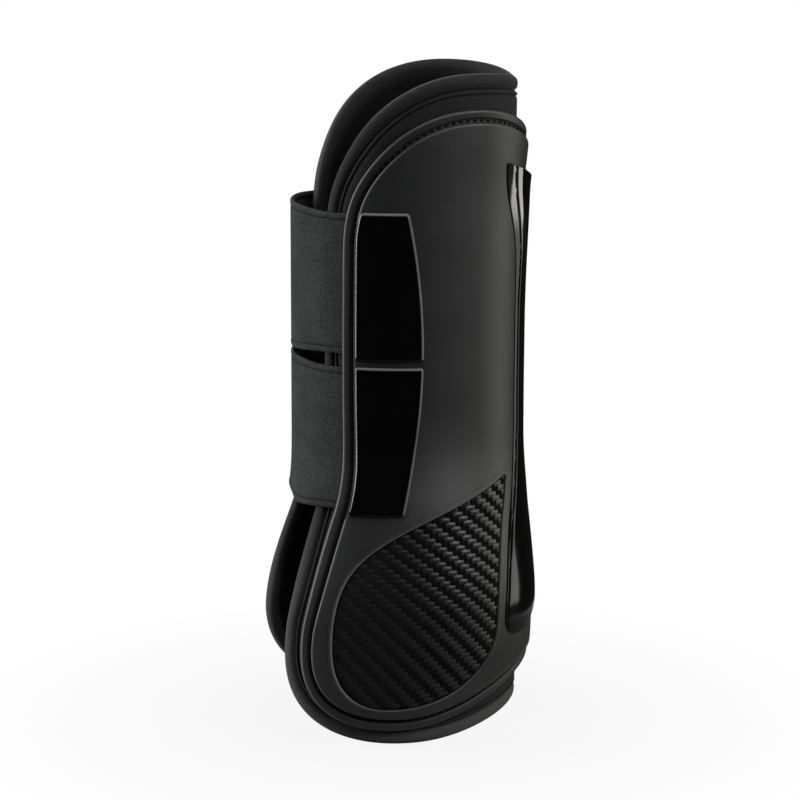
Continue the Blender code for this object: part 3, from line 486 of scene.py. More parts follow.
def knitGroup():  # rows of rounded loops on the sheet, in millimetres, with single lighter fibres
    inputs = {"Vector": "Vector", "Row": "Float", "Wale": "Float"}
    outputs = {"Height": "Float", "Fleck": "Float", "Cloud": "Float"}
    tree, given, gives = newGroup("knitLoops", inputs, outputs)
    place = addNode(tree, "SeparateXYZ", Vector=given["Vector"]).outputs
    u = mathNode(tree, "DIVIDE", place["X"], given["Wale"])
    v = mathNode(tree, "DIVIDE", place["Y"], given["Row"])
    half = mathNode(tree, "MULTIPLY", mathNode(tree, "FLOOR", v), 0.5)
    wave = mathNode(tree, "SINE", mathNode(tree, "MULTIPLY", mathNode(tree, "ADD", u, half), 2 * math.pi))
    rows = mathNode(tree, "ABSOLUTE", mathNode(tree, "SINE", mathNode(tree, "MULTIPLY", v, math.pi)))
    loops = mathNode(tree, "ADD", mathNode(tree, "MULTIPLY", wave, 0.3), 0.7)
    setInput(tree, gives["Height"], mathNode(tree, "MULTIPLY", rows, loops))
    for label, scale, rough in (("Fleck", 1.1, 0.75), ("Cloud", 0.09, 0.6)):
        noise = addNode(tree, "TexNoise", Vector=given["Vector"], Scale=scale, Detail=3.0, Roughness=rough)
        setInput(tree, gives[label], noise.outputs["Fac"])
    return tree


def edgeGroup():  # painted highlight: marked crests take a lighter colour; painted shade: marked grooves go dark
    inputs = {"Color": "Color", "Worn": "Color", "Mark": "Float"}
    tree, given, gives = newGroup("paintedLightAndWear", inputs, {"Color": "Color"})
    crest = mathNode(tree, "MAXIMUM", given["Mark"], 0.0)
    groove = mathNode(tree, "MULTIPLY", mathNode(tree, "MINIMUM", given["Mark"], 0.0), -0.9)
    lighter = mixColors(tree, crest, given["Color"], given["Worn"])
    setInput(tree, gives["Color"], mixColors(tree, groove, lighter, (0.0006, 0.0006, 0.0006, 1)))
    return tree


def twillGroup():  # 1 on the level floats of a two-over, two-under twill, 0 on the upright ones
    tree, given, gives = newGroup("twillFloats", {"Vector": "Vector", "Cell": "Float"}, {"Level": "Float"})
    place = addNode(tree, "SeparateXYZ", Vector=given["Vector"]).outputs
    across = mathNode(tree, "MULTIPLY", mathNode(tree, "ABSOLUTE", place["X"]), -1.0)
    i = mathNode(tree, "FLOOR", mathNode(tree, "DIVIDE", across, given["Cell"]))
    j = mathNode(tree, "FLOOR", mathNode(tree, "DIVIDE", place["Y"], given["Cell"]))
    turn = mathNode(tree, "FLOORED_MODULO", mathNode(tree, "ADD", i, j), 4.0)
    setInput(tree, gives["Level"], mathNode(tree, "GREATER_THAN", turn, 1.5))
    return tree


mouldGrain, knitLoops, paintedLightAndWear, twillFloats = mouldGrainGroup(), knitGroup(), edgeGroup(), twillGroup()


def shaderInputs(tree):  # sockets of a material's shader
    return tree.nodes["Principled BSDF"].inputs


def newMaterial(name, color, rough, **sockets):  # Principled material with constants on its sockets
    made = bpy.data.materials.new(name)
    made.use_nodes = True
    for key, value in {"Base_Color": (*color, 1), "Roughness": rough, **sockets}.items():
        shaderInputs(made.node_tree)[key.replace("_", " ")].default_value = value
    return made


def edgeMark(tree):  # painted highlight, painted shade and polish stored on the mesh
    return addNode(tree, "Attribute", attribute_name="edge").outputs["Fac"]


def paintedLightAndWearColor(tree, color, worn):  # colour with painted highlights on crests and painted shade in grooves, to the shader
    paintedLight = addNode(tree, "Group", node_tree=paintedLightAndWear, Color=color, Worn=(*worn, 1), Mark=edgeMark(tree))
    setInput(tree, shaderInputs(tree)["Base Color"], paintedLight.outputs["Color"])


def bumpInto(tree, height, strength, distance):  # bump on the shader's normal
    bump = addNode(tree, "Bump", Height=height, Strength=strength, Distance=distance)
    setInput(tree, shaderInputs(tree)["Normal"], bump.outputs["Normal"])


def moulded(name, dark, light, worn, rough, grain, depth, dull=0.0, **sockets):
    # moulded plastic skin, rougher where it carries painted highlights and painted shade
    made = newMaterial(name, dark, rough[0], **sockets)
    tree = made.node_tree
    place = addNode(tree, "TexCoord").outputs["Object"]
    skin = addNode(tree, "Group", node_tree=mouldGrain, Vector=place, Scale=grain, Cloud_Scale=60.0).outputs
    paintedLightAndWearColor(tree, shadeBetween(tree, skin["Cloud"], *cloudBand, dark, light), worn)
    marked = spreadBetween(tree, mathNode(tree, "ABSOLUTE", edgeMark(tree)), 0.0, 1.0, 0.0, dull)
    roughness = spreadBetween(tree, skin["Cloud"], *cloudBand, *rough)
    setInput(tree, shaderInputs(tree)["Roughness"], mathNode(tree, "ADD", roughness, marked))
    bumpInto(tree, skin["Height"], depth, 0.0002)
    return made


def knitted(name, dark, light, worn, rough, row, wale, depth, **sockets):  # knitted or woven cloth
    made = newMaterial(name, dark, rough, **sockets)
    tree = made.node_tree
    sheet = addNode(tree, "UVMap", uv_map="sheet").outputs["UV"]
    cloth = addNode(tree, "Group", node_tree=knitLoops, Vector=sheet, Row=row, Wale=wale).outputs
    fine = mathNode(tree, "MULTIPLY", cloth["Fleck"], 0.75)
    shade = mathNode(tree, "ADD", fine, mathNode(tree, "MULTIPLY", cloth["Cloud"], 0.25))
    paintedLightAndWearColor(tree, shadeBetween(tree, shade, *fleckBand, dark, light), worn)
    bumpInto(tree, cloth["Height"], depth, 0.0003)
    return made


def twilled(name, upright, level, worn, rough, cell, frontFade, **sockets):
    # moulded twill: its level floats get a coat and a lighter colour, the colour a painted highlight; both
    # fade toward the front
    made = newMaterial(name, upright, rough[0], **sockets)
    tree = made.node_tree
    sheet = addNode(tree, "UVMap", uv_map="sheet").outputs["UV"]
    floats = addNode(tree, "Group", node_tree=twillFloats, Vector=sheet, Cell=cell).outputs["Level"]
    grain = addNode(tree, "Group", node_tree=mouldGrain, Vector=sheet, Scale=3.0, Cloud_Scale=0.12).outputs
    arc = mathNode(tree, "ABSOLUTE", addNode(tree, "SeparateXYZ", Vector=sheet).outputs["X"])
    patchy = mathNode(tree, "MULTIPLY", floats, spreadBetween(tree, grain["Cloud"], *cloudBand, 0.8, 1.0))
    shine = mathNode(tree, "MULTIPLY", patchy, spreadBetween(tree, arc, *frontFade, 1.0, 0.35))
    setInput(tree, shaderInputs(tree)["Coat Weight"], shine)
    paintedLightAndWearColor(tree, shadeBetween(tree, shine, 0.0, 1.0, upright, level), worn)
    setInput(tree, shaderInputs(tree)["Roughness"], spreadBetween(tree, floats, 0.0, 1.0, *rough))
    bumpInto(tree, grain["Height"], 0.1, 0.0001)
    return made


shellLook = dict(
    dark=(0.0112, 0.0122, 0.0117), light=(0.0132, 0.0143, 0.0137), worn=(0.2, 0.205, 0.2), rough=(0.42, 0.48),
    grain=1500.0, depth=0.06, Specular_IOR_Level=0.4,
)
shellSkin = moulded("shellSkin", dull=0.6, **shellLook)
lipSkin = moulded("lipSkin", **shellLook)
glossBlack = moulded(
    "glossBlack", dark=(0.0008, 0.0010, 0.0009), light=(0.0011, 0.0013, 0.0012), worn=(0.09, 0.09, 0.09),
    rough=(0.1, 0.14), grain=300.0, depth=0.004, Specular_IOR_Level=0.12,
)
guardGloss = moulded(
    "guardGloss", dark=(0.0006, 0.0007, 0.0006), light=(0.0009, 0.0010, 0.0009), worn=(0.004, 0.004, 0.004),
    rough=(0.08, 0.12), grain=300.0, depth=0.004, Specular_IOR_Level=0.22, Coat_Roughness=0.1, Coat_IOR=2.0,
)
guardTree = guardGloss.node_tree
setInput(guardTree, shaderInputs(guardTree)["Coat Weight"], edgeMark(guardTree))  # polish where it is marked
neopreneKnit = knitted(
    "neopreneKnit", dark=(0.0086, 0.0095, 0.009), light=(0.0153, 0.0167, 0.016), worn=(0.04, 0.042, 0.041),
    rough=0.92, row=0.55, wale=0.4, depth=0.35,
    Specular_IOR_Level=0.15, Sheen_Weight=0.03, Sheen_Roughness=0.5,
)
rollKnit = knitted(
    "rollKnit", dark=(0.0086, 0.0095, 0.009), light=(0.019, 0.0208, 0.02), worn=(0.07, 0.073, 0.071),
    rough=0.85, row=0.45, wale=0.35, depth=0.35,
    Specular_IOR_Level=0.2, Sheen_Weight=0.05, Sheen_Roughness=0.45,
)
foamSheet = moulded(
    "foamSheet", dark=(0.026, 0.026, 0.028), light=(0.034, 0.034, 0.036), worn=(0.05, 0.05, 0.05),
    rough=(0.9, 0.96), grain=900.0, depth=0.3,
)
elasticWeb = knitted(
    "elasticWeb", dark=(0.0098, 0.0110, 0.0104), light=(0.037, 0.0397, 0.0384), worn=(0.06, 0.062, 0.061),
    rough=0.9, row=0.42, wale=0.6, depth=0.4,
    Specular_IOR_Level=0.15, Sheen_Weight=0.05, Sheen_Roughness=0.5,
)
pileTape = knitted(
    "pileTape", dark=(0.005, 0.005, 0.0053), light=(0.014, 0.014, 0.0145), worn=(0.02, 0.02, 0.02),
    rough=0.95, row=0.8, wale=0.8, depth=0.9,
    Specular_IOR_Level=0.15, Sheen_Weight=0.1, Sheen_Roughness=0.6,
)
blackThread = knitted(
    "blackThread", dark=(0.0008, 0.0008, 0.0008), light=(0.002, 0.002, 0.002), worn=(0.01, 0.01, 0.01),
    rough=0.7, row=0.3, wale=0.2, depth=0.5, Specular_IOR_Level=0.08,
)

# Shell, with a basin in each side for a strike pad: a teardrop with a twill relief
# A pair for the painted highlight and shade below is a place and the span over which it eases, but flareArc
# is a centre and a width,
# and dulled is where the twill's shine begins to fade and where it has

guard = dict(
    top=208.8, dip=9.0, topHalf=22.6, waistHalf=14.2, waistTop=170.0, waistBottom=114.0, bulbHalf=31.3,
    bulbLevel=43.0, bottom=36.3, lobeArc=24.0, rise=10.0, soften=1.4, lowCorner=(28, 38), grid=(120, 240),
)
pad = dict(
    tip=95.2, guardMargin=3.8, frontMargin=12.3, frontLevel=42.0, bottomMargin=8.6, bottomArc=71.5,
    frontPull=30.0, tipPull=37.5, tipDrop=14.7, browPoints=60, soften=0.8, back=1.75, face=2.1,
    relief=0.34, cell=1.7, perCell=4, overlap=0.15, frontFade=(54, 32), dulled=(42.0, 74.0),
    basinDepth=1.9, basinMargin=1.1, lipStep=0.8, lipHighlightLeast=0.08,
)
# painted highlight and painted shade on the shell: patch above the pads, heel, rim lines, channel and the
# step beside the panels
paintedLight = dict(
    flareTop=(126, 42), flareLow=(50, 35), flareArc=(45, 16), flareShare=0.13,
    heelTop=(56, 26), heelArc=(50, 14), heelShade=0.6,
    edgeLeast=0.2, middle=(80, 40), middleLess=0.4, collar=(185, 30), collarLess=0.25, collarLessShade=0.7,
    panelLow=(84, 3), panelTop=(192, 3), panelShade=6, stepRows=6,
)
# the level floats' lighter colour is a painted highlight
twillSkin = twilled(
    "twillSkin", upright=(0.0020, 0.0023, 0.0021), level=(0.0033, 0.0037, 0.0035),
    worn=(0.0066, 0.0072, 0.0069), rough=(0.9, 0.6), cell=pad["cell"], frontFade=pad["dulled"],
    Specular_IOR_Level=0.06, Coat_Roughness=0.4, Coat_IOR=1.5,
)


def guardHalf(level):  # half width: flared top, narrow waist, swelling bulb
    flare = rises(level, guard["waistTop"], guard["top"] - guard["waistTop"])
    bulb = fades(level, guard["waistBottom"], guard["waistBottom"] - guard["bulbLevel"])
    waist = guard["waistHalf"]
    return waist + (guard["topHalf"] - waist) * flare + (guard["bulbHalf"] - waist) * bulb


def padLoop():  # back edge along the guard, round heel and toe, and a brow drawn as one cubic curve
    front, low = shell["lobeArc"] - pad["frontMargin"], shell["bottom"] + pad["bottomMargin"]
    levels = np.linspace(pad["tip"], guard["bulbLevel"], stretch)
    back = np.stack([guardHalf(levels) + pad["guardMargin"], levels], 1)
    lowest, foremost = (pad["bottomArc"], low), (front, pad["frontLevel"])
    heel = quarterTurn((pad["bottomArc"], guard["bulbLevel"]), back[-1], lowest)
    toe = quarterTurn((pad["bottomArc"], pad["frontLevel"]), lowest, foremost, shell["fullness"])
    tipPull = back[0] + (pad["tipPull"], -pad["tipDrop"])
    ends = np.array([toe[-1], toe[-1] + (0, pad["frontPull"]), tipPull, back[0]])
    t = np.linspace(0, 1, pad["browPoints"])[:, None]
    brow = np.hstack([(1 - t) ** 3, 3 * t * (1 - t) ** 2, 3 * t * t * (1 - t), t**3]) @ ends
    return softLoop(np.vstack([back, heel[1:], toe[1:], brow[1:-1]]), pad["soften"])


padOutline = padLoop()


def basinRelief(sheet, lift):  # the shell's face drops clear of each pad, under the lip that lines the recess
    depth = np.maximum(depthInLoop(sheet, padOutline), depthInLoop(sheet * [-1, 1], padOutline))
    return lift - pad["basinDepth"] * rises(depth, -pad["basinMargin"], pad["basinMargin"])


def flareLightAndShade(sheet):  # painted highlight: a soft lighter patch above each pad; painted shade: a darker heel
    arc, level = np.abs(sheet[:, 0]), sheet[:, 1]
    patch = fades(level, *paintedLight["flareTop"]) * rises(level, *paintedLight["flareLow"]) * bell(arc, *paintedLight["flareArc"])
    soiled = fades(level, *paintedLight["heelTop"]) * fades(arc, *paintedLight["heelArc"])
    return paintedLight["flareShare"] * patch - paintedLight["heelShade"] * soiled


shellRing = bootRing(shell, shell["grid"])
shellProfile = [  # face, step, stitch channel, flange, rim bead, rim and inside face
    (6.6, 2.9), (5.6, 2.9), (5.05, 2.88), (4.8, 2.8), (4.6, 2.6), (4.45, 2.2), (4.35, 1.7), (4.25, 1.35),
    (4.05, 1.2), (3.3, 1.2), (3.05, 1.3), (2.9, 1.55), (2.75, 1.78), (2.5, 1.85), (1.6, 1.86), (1.2, 1.9),
    (0.8, 1.92), (0.45, 1.84), (0.2, 1.66), (0.05, 1.4), (0.0, 1.1), (0.0, 0.7), (0.08, 0.45), (0.3, 0.3),
    (6.6, 0.3),
]
# painted highlights on the step and on the rim bead's crest, painted shade down the stitch channel
shellMarks = [
    (1, 0), (2, 0.1), (3, 0.25), (4, 0.2), (5, 0), (6, -0.5), (7, -1), (10, -1), (11, -0.7), (12, 0),
    (15, 0), (16, 0.15), (17, 0.4), (18, 0.4), (19, 0.2), (20, 0),
]


def shellShares():  # painted highlight on each row of the rim, and painted shade round it: both less at the collar
    arc, level = shellRing.T
    collar = rises(level, *paintedLight["collar"])
    less = paintedLight["middleLess"] * rises(level, *paintedLight["middle"]) + paintedLight["collarLess"] * collar
    share = np.tile(frontShare(shellRing, paintedLight["edgeLeast"]) * (1 - less), (len(shellProfile) - 2, 1))
    besidePanels = rises(level, *paintedLight["panelLow"]) * fades(level, *paintedLight["panelTop"]) * (arc > 0)
    share[:paintedLight["stepRows"]] *= 1 - paintedLight["panelShade"] * besidePanels  # painted shade on the step along the panels
    return dict(share=share, paintedShade=1 - paintedLight["collarLessShade"] * collar)


shellPiece = sheetBody(
    "outerShell", shellRing, shell["grid"], shellProfile, basinRelief, sharp=60,
    marks=shellMarks, faceMarks=flareLightAndShade, **shellShares(),
)
finishPiece(shellPiece, shellSkin, "shell", "boot", "outer_shell")

lipProfile = [
    (-2.9, 2.86), (-2.3, 2.895), (-1.6, 2.905), (-0.9, 2.905), (-0.65, 2.88), (-0.45, 2.8), (-0.33, 2.65),
    (-0.28, 2.4), (-0.1, 1.5), (0.3, 1.3), (2.0, 1.25), (2.0, 0.9), (-2.9, 0.9),
]
# painted highlight on the lip's crest, painted shade where it turns down into the recess
lipMarks = [(2, 0), (3, 0.2), (4, 0.7), (5, 0.7), (6, 0.1), (7, 0), (8, -0.8)]
padSides = (("medial", 1), ("lateral", -1))


def padLip(word, side):  # rounded edge of a pad's recess, with a painted highlight on its crest and painted shade in the recess, as on the shell
    loop = evenLoop(padOutline, pad["lipStep"])
    marks = np.outer(frontShare(loop, pad["lipHighlightLeast"]), markRow(lipMarks, len(lipProfile)))
    lip = rimTube(word + "PadLip", loop * [side, 1], lipProfile, 60, marks + flareLightAndShade(loop)[:, None])
    finishPiece(lip, lipSkin, "shell", "boot")


for word, side in padSides:
    padLip(word, side)

shellThread = dict(inset=3.65, pitch=2.7, lift=1.3, length=2.0, thick=0.62, arch=0.22)
channelLine = evenLoop(insetLoop(bootLoop(shell), shellThread["inset"]), shellThread["pitch"])
stitchLine("shellStitches", channelLine, shellThread["lift"], shellThread, "boot")


def twillRelief(x, z):  # two over, two under: upright floats crowned across, level floats crowned up and down
    i, j = np.floor(x / pad["cell"]), np.floor(z / pad["cell"])
    fx, fz = x / pad["cell"] - i - 0.5, z / pad["cell"] - j - 0.5
    turn = (i + j) % 4
    upright = turn < 2
    along = np.where(upright, turn - 0.5 + fz, turn - 2.5 + fx)
    across = np.where(upright, fx, fz)
    crown = np.sqrt(np.clip(1 - (1.9 * across) ** 2, 0, 1))
    return pad["relief"] * crown * np.clip(1 - (0.95 * along) ** 4, 0, 1)


def padPiece(word, side):
    # grid of twill cells clipped to the outline, with a flat back and a wall all round
    step = pad["cell"] / pad["perCell"]
    low, high = padOutline.min(0) - 1, padOutline.max(0) + 1
    arc, level = np.meshgrid(np.arange(low[0], high[0], step), np.arange(low[1], high[1], step))
    sheet = np.stack([arc.ravel(), level.ravel()], 1)
    kept = depthInLoop(sheet, padOutline) > -pad["overlap"]
    faces = gridFaces(*arc.shape)
    used, faces = np.unique(faces[kept[faces].all(1)], return_inverse=True)
    faces, count = faces.reshape(-1, 4), len(used)
    relief = twillRelief(-sheet[used, 0], sheet[used, 1])
    edges = np.stack([faces, np.roll(faces, -1, 1)], -1).reshape(-1, 2)
    keys = np.sort(edges, 1) @ [count, 1]
    first, uses = np.unique(keys, return_index=True, return_counts=True)[1:]
    rim = edges[first[uses == 1]]
    walls = np.stack([rim[:, 1], rim[:, 0], rim[:, 0] + count, rim[:, 1] + count], 1)
    faces = np.vstack([faces, faces[:, ::-1] + count, walls])
    lift = np.concatenate([pad["face"] + relief, np.full(count, pad["back"])])
    sheet = np.tile(sheet[used] * [side, 1], (2, 1))
    # painted light: toward the front the floats take one even colour in place of their lit and shaded tones
    frontFade = rises(np.abs(sheet[:, 0]), *pad["frontFade"])
    piece = makePiece(word + "StrikePad", onLeg(*sheet.T, lift), faces, sheet, 75, frontFade)
    finishPiece(piece, twillSkin, "twill", "boot", word + "_strike_pad")


for word, side in padSides:
    padPiece(word, side)
print("shell and strike pads built")

# Tendon guard
# In facet, top, bulb, flat and each polish are a place and the span over which it eases; the other pairs are
# at the waist and at the flared top, but crownSpan is at the waist and the bulb

facet = dict(
    top=(150, 55), bulb=(110, 50), flat=(78, 22), flatLess=0.8, start=0.4, width=(1.5, 3.8), bulbLess=0.2,
    slope=(0.45, 0.3), innerSlope=(0.35, 1.0), innerWidth=0.7, groove=0.4, grooveWidth=0.35,
    crown=(0.47, 0.15), bulbCrown=0.25, crownSpan=(8, 18),
    outerPolish=(180, 14), innerPolish=(168, 22), polishReach=6.4,
)


def guardLoop():  # dipped top, flanks, round lobes and raised bottom, less the gap of its recess
    levels = np.linspace(guard["top"], guard["bulbLevel"], 3 * stretch)
    flank = np.stack([guardHalf(levels), levels], 1)
    low = (guard["lobeArc"], guard["bottom"])
    lobe = quarterTurn((guard["lobeArc"], guard["bulbLevel"]), (guard["bulbHalf"], guard["bulbLevel"]), low)
    t = np.linspace(0, 1, stretch)
    under = np.stack([guard["lobeArc"] * (1 - t), guard["bottom"] + guard["rise"] * easeStep(t)], 1)
    half = np.vstack([[(0, guard["top"] - guard["dip"])], flank, lobe[1:], under[1:]])
    return insetLoop(softLoop(bothSides(half, half), guard["soften"]), fitGap)


def flankDepth(sheet):  # depth from the flanks alone, so the top and bottom edges cut across the facets
    return guardHalf(np.maximum(sheet[:, 1], guard["bulbLevel"])) - fitGap - np.abs(sheet[:, 0])


def guardFacets(sheet, lift):
    # two facets that rise inwards, parted by a groove, then the crowned face; widest at the flared top
    level, depth = sheet[:, 1], flankDepth(sheet)
    upper, bulb = rises(level, *facet["top"]), fades(level, *facet["bulb"])
    width = between(facet["width"], upper) - facet["bulbLess"] * bulb
    slope = between(facet["slope"], upper) * (1 - facet["flatLess"] * fades(level, *facet["flat"]))
    inner = between(facet["innerSlope"], upper) * np.clip(depth - width, 0, facet["innerWidth"] * width)
    rise = slope * (np.minimum(depth, width) - facet["start"] + inner)
    groove = facet["groove"] * bell(depth, width, facet["grooveWidth"])
    crown = between(facet["crown"], upper) + facet["bulbCrown"] * bulb
    crown = crown * rises(depth, (1 + facet["innerWidth"]) * width, between(facet["crownSpan"], bulb))
    return lift + rise - groove + crown


def guardPolish(sheet):  # the facets' flared tops are polished, the inner one further down
    level, depth = sheet[:, 1], flankDepth(sheet)
    inner = depth > between(facet["width"], rises(level, *facet["top"]))
    polish = np.where(inner, rises(level, *facet["innerPolish"]), rises(level, *facet["outerPolish"]))
    return polish * (depth < facet["polishReach"])


def guardPiece():  # faceted face with a thin edge all round
    (lowArc, lowLevel), topArc, top = guard["lowCorner"], guard["topHalf"], guard["top"]
    corners = [(-lowArc, lowLevel), (lowArc, lowLevel), (topArc, top), (-topArc, top)]
    ring = ringOnSides(guardLoop(), corners, guard["grid"])
    profile = [(0.4, 3.3), (0.3, 3.28), (0.12, 3.2), (0.0, 3.05), (0.0, 2.75), (0.15, 2.6), (0.4, 2.6)]
    piece = sheetBody(
        "tendonGuard", ring, guard["grid"], profile, guardFacets, sharp=25, marks=[(0, 0)], faceMarks=guardPolish,
    )
    finishPiece(piece, guardGloss, "gloss", "boot", "tendon_guard")


guardPiece()

# Gloss side panels, one beside each strap

strap = dict(
    width=50.0, lowLevel=86.0, gap=5.0, spread=1.6, frontReach=38.5, rootLength=11.5, hingeOut=2.2,
    leaveOut=1.5, landing=2.0, overlap=14.0, thick=1.4, nearLift=-0.7, farLift=6.6, foldGap=1.2,
    sewnRows=15, nearRows=14, crossRows=40, farRows=22, bendBefore=3.0, bendAfter=5.0,
)
panel = dict(
    edgeInset=4.85, belly=5.0, bellyLevel=144.0, bellyRadius=250.0, overrun=1.8, soften=0.9, points=60,
    grid=(40, 70), underHighlight=0.1, frontHighlight=0.3,
)
strapWords = ("lower", "upper")


def strapLevels(which):  # lower and upper edge of a strap where it is sewn in
    low = strap["lowLevel"] + which * (strap["width"] + strap["gap"])
    return low, low + strap["width"]


def panelPiece(which, word):  # front edge along the shell's, back edge a shallow arc
    low, high = strapLevels(which)
    levels = np.linspace(low - panel["overrun"], high + panel["overrun"], panel["points"])
    front = np.stack([insideEdge(levels, panel["edgeInset"]), levels], 1)
    belly = panel["belly"] - (levels - panel["bellyLevel"]) ** 2 / (2 * panel["bellyRadius"])
    back = np.stack([arcAtX(belly, levels), levels], 1)
    loop = insetLoop(softLoop(np.vstack([front, back[::-1]]), panel["soften"]), fitGap)
    ring = ringOnSides(loop, [back[0], front[0], front[-1], back[-1]], panel["grid"])
    profile = [
        (1.6, 4.1), (1.2, 4.1), (0.95, 4.07), (0.75, 4.0), (0.2, 3.5), (0.05, 3.36), (0.0, 3.25), (0.0, 2.95),
        (0.1, 2.82), (1.6, 2.8),
    ]
    # painted highlight along the bevel's crest; each side of the outline gets its own share of it
    marks = [(1, 0), (2, 0.1), (3, 1), (4, 0.9), (5, 0.1), (6, 0)]
    share = np.ones(len(ring))
    under, side = panel["grid"][0] + 1, sum(panel["grid"])
    share[:under] = panel["underHighlight"]  # the bottom edge lies in shadow and keeps its black
    share[under:side] = panel["frontHighlight"]
    piece = sheetBody(word + "SidePanel", ring, panel["grid"], profile, sharp=35, marks=marks, share=share)
    finishPiece(piece, glossBlack, "gloss", "boot", word + "_side_panel")


for which, word in enumerate(strapWords):
    panelPiece(which, word)
print("guard and panels built")

# Liner with its band, the padded edge roll and the foam sheet

linerProfile = [  # flat band, crease, bead, groove, tongue held inside the roll, flush inside face
    (12.0, -1.7), (9.0, -1.72), (7.8, -1.75), (7.4, -1.95), (7.1, -2.2), (6.8, -1.95), (6.5, -1.64),
    (6.2, -1.6), (5.9, -1.75), (5.7, -2.1), (5.5, -2.6), (4.6, -3.0), (3.8, -3.3), (3.4, -4.6), (3.2, -5.6),
    (3.4, -6.05), (4.2, -6.2), (7.0, -6.2), (12.0, -6.2),
]
# painted shade in the crease, the groove and the inside face; painted highlight on the bead
linerMarks = [
    (2, 0), (3, -0.6), (4, -0.8), (5, -0.5), (6, 0.2), (7, 0.2), (8, 0), (9, -0.7), (12, -0.8), (14, 0),
    (15, 0.1), (16, -0.3), (17, -1), (18, -1),
]


def linerInside(sheet):  # painted shade: dark just inside both ends, lighter between them
    middle = rises(sheet[:, 1], *liner["darkBelow"]) * fades(sheet[:, 1], *liner["darkAbove"])
    return -1 + liner["lighter"] * middle


linerPiece = sheetBody(
    "neopreneLiner", bootRing(liner, shell["grid"]), shell["grid"], linerProfile, sharp=70,
    marks=linerMarks, deep=linerInside,
)
finishPiece(linerPiece, neopreneKnit, "neoprene", "boot", "neoprene_liner")

roll = dict(
    inset=2.6, lift=-3.95, width=5.2, height=4.8, power=2.3, sides=28, step=1.0,
    collar=(120, 60), fetlock=(100, 70), fetlockLighter=0.6,
)
# painted highlight along the roll's crest, toward the collar
rollCrest = [(11, 0), (12, 0.3), (13, 0.6), (14, 0.4), (15, 0)]


def rollProfile():  # super-ellipse of (inset, lift)
    t = np.arange(roll["sides"]) * 2 * math.pi / roll["sides"]
    x, y = (np.sign(v) * np.abs(v) ** (2 / roll["power"]) for v in (np.cos(t), np.sin(t)))
    return np.stack([roll["inset"] + roll["width"] / 2 * x, roll["lift"] + roll["height"] / 2 * y], 1)


rollLoop = evenLoop(bootLoop(liner), roll["step"])
rollMarks = np.outer(rises(rollLoop[:, 1], *roll["collar"]), markRow(rollCrest, roll["sides"]))
rollMarks += roll["fetlockLighter"] * fades(rollLoop[:, 1], *roll["fetlock"])[:, None]  # lighter grey all round toward the bottom
rollPiece = rimTube("edgeRoll", rollLoop, rollProfile(), 80, rollMarks)
finishPiece(rollPiece, rollKnit, "binding", "boot", "edge_binding")

foam = dict(
    top=214.2, backTop=201.5, edgeArc=67.3, lobeArc=93.8, bottom=19.9, bottomArc=68.0, backBottom=38.5,
    grid=(50, 60),
)
foamProfile = [(2.0, -0.2), (0.3, -0.22), (0.0, -0.4), (0.0, -1.0), (0.3, -1.18), (2.0, -1.2)]
foamPiece = sheetBody("foamInsert", bootRing(foam, foam["grid"]), foam["grid"], foamProfile)
finishPiece(foamPiece, foamSheet, "foam", "boot", "foam_insert")
print("liner, roll and foam built")

# Straps, each with a sewn hem along both edges
# In hem, the ridge, the seam and the painted shade in it are each a place and a width

hem = dict(
    lines=(0.0, 0.2, 0.6, 1.2, 1.7, 1.95, 2.1, 2.25, 2.4, 2.65, 3.1, 3.8), between=(0.1, 0.9, 33),
    rounding=0.6, least=0.08, ridge=(1.1, 0.7), ridgeHeight=0.1, seam=(2.2, 0.3), seamDepth=0.3,
    paintedShade=(2.2, 0.35), paintedShadeShare=0.85,
)


def joinCurve(start, startWay, end, endWay, count):  # plan curves that leave and arrive along given ways
    t = np.linspace(0, 1, count)[:, None, None]
    reach = np.linalg.norm(end - start, axis=1, keepdims=True)
    ends = (1 + 2 * t) * (1 - t) ** 2 * start + t * t * (3 - 2 * t) * end
    return ends + reach * (t * (1 - t) ** 2 * unit(startWay) - t * t * (1 - t) * unit(endWay))


def strapSplit(level, low, high):  # straight line just outside the shell's edge, where the swing begins
    ends = flareArc(np.array([low, high]), shell["edgeArc"], shell["lobeArc"]) + strap["hingeOut"]
    return np.interp(level, [low, high], ends)


def tabStart(level):  # arc on the lateral side where a strap ends
    return shellEdge(level) - strap["overlap"]


def strapPlan(which, levels):
    # plan lines: under the shell's edge, over the roll, across the front and on to the lateral side
    low, high = strapLevels(which)
    begin, split = shellEdge(levels) - strap["rootLength"], strapSplit(levels, low, high)
    leave = flareArc(levels, liner["edgeArc"], liner["lobeArc"]) + strap["leaveOut"]
    land, end = -shellEdge(levels) - strap["landing"], -tabStart(levels)
    sewn = onLeg(np.linspace(begin, split, strap["sewnRows"] + 1)[:-1], levels, strap["nearLift"])[..., :2]
    near = onLeg(np.linspace(split, leave, strap["nearRows"]), levels, strap["nearLift"])[..., :2]
    far = onLeg(np.linspace(land, end, strap["farRows"]), levels, strap["farLift"])[..., :2]
    front = np.broadcast_to([-strap["frontReach"], 0.0], near[-1].shape)
    across = np.broadcast_to([0.0, 1.0], front.shape)
    first = joinCurve(near[-1], near[-1] - near[-2], front, across, strap["crossRows"])
    second = joinCurve(front, across, far[0], far[1] - far[0], strap["crossRows"])
    plan = np.concatenate([sewn, near, first[1:], second[1:], far[1:]])
    free = np.linspace(0, 1, len(plan) - len(sewn))
    bulge = np.concatenate([np.zeros(len(sewn)), np.sin(math.pi * free) ** 2])
    spread = strap["spread"] * (2 * (levels - low) / strap["width"] - 1)
    return plan, levels + bulge[:, None] * spread


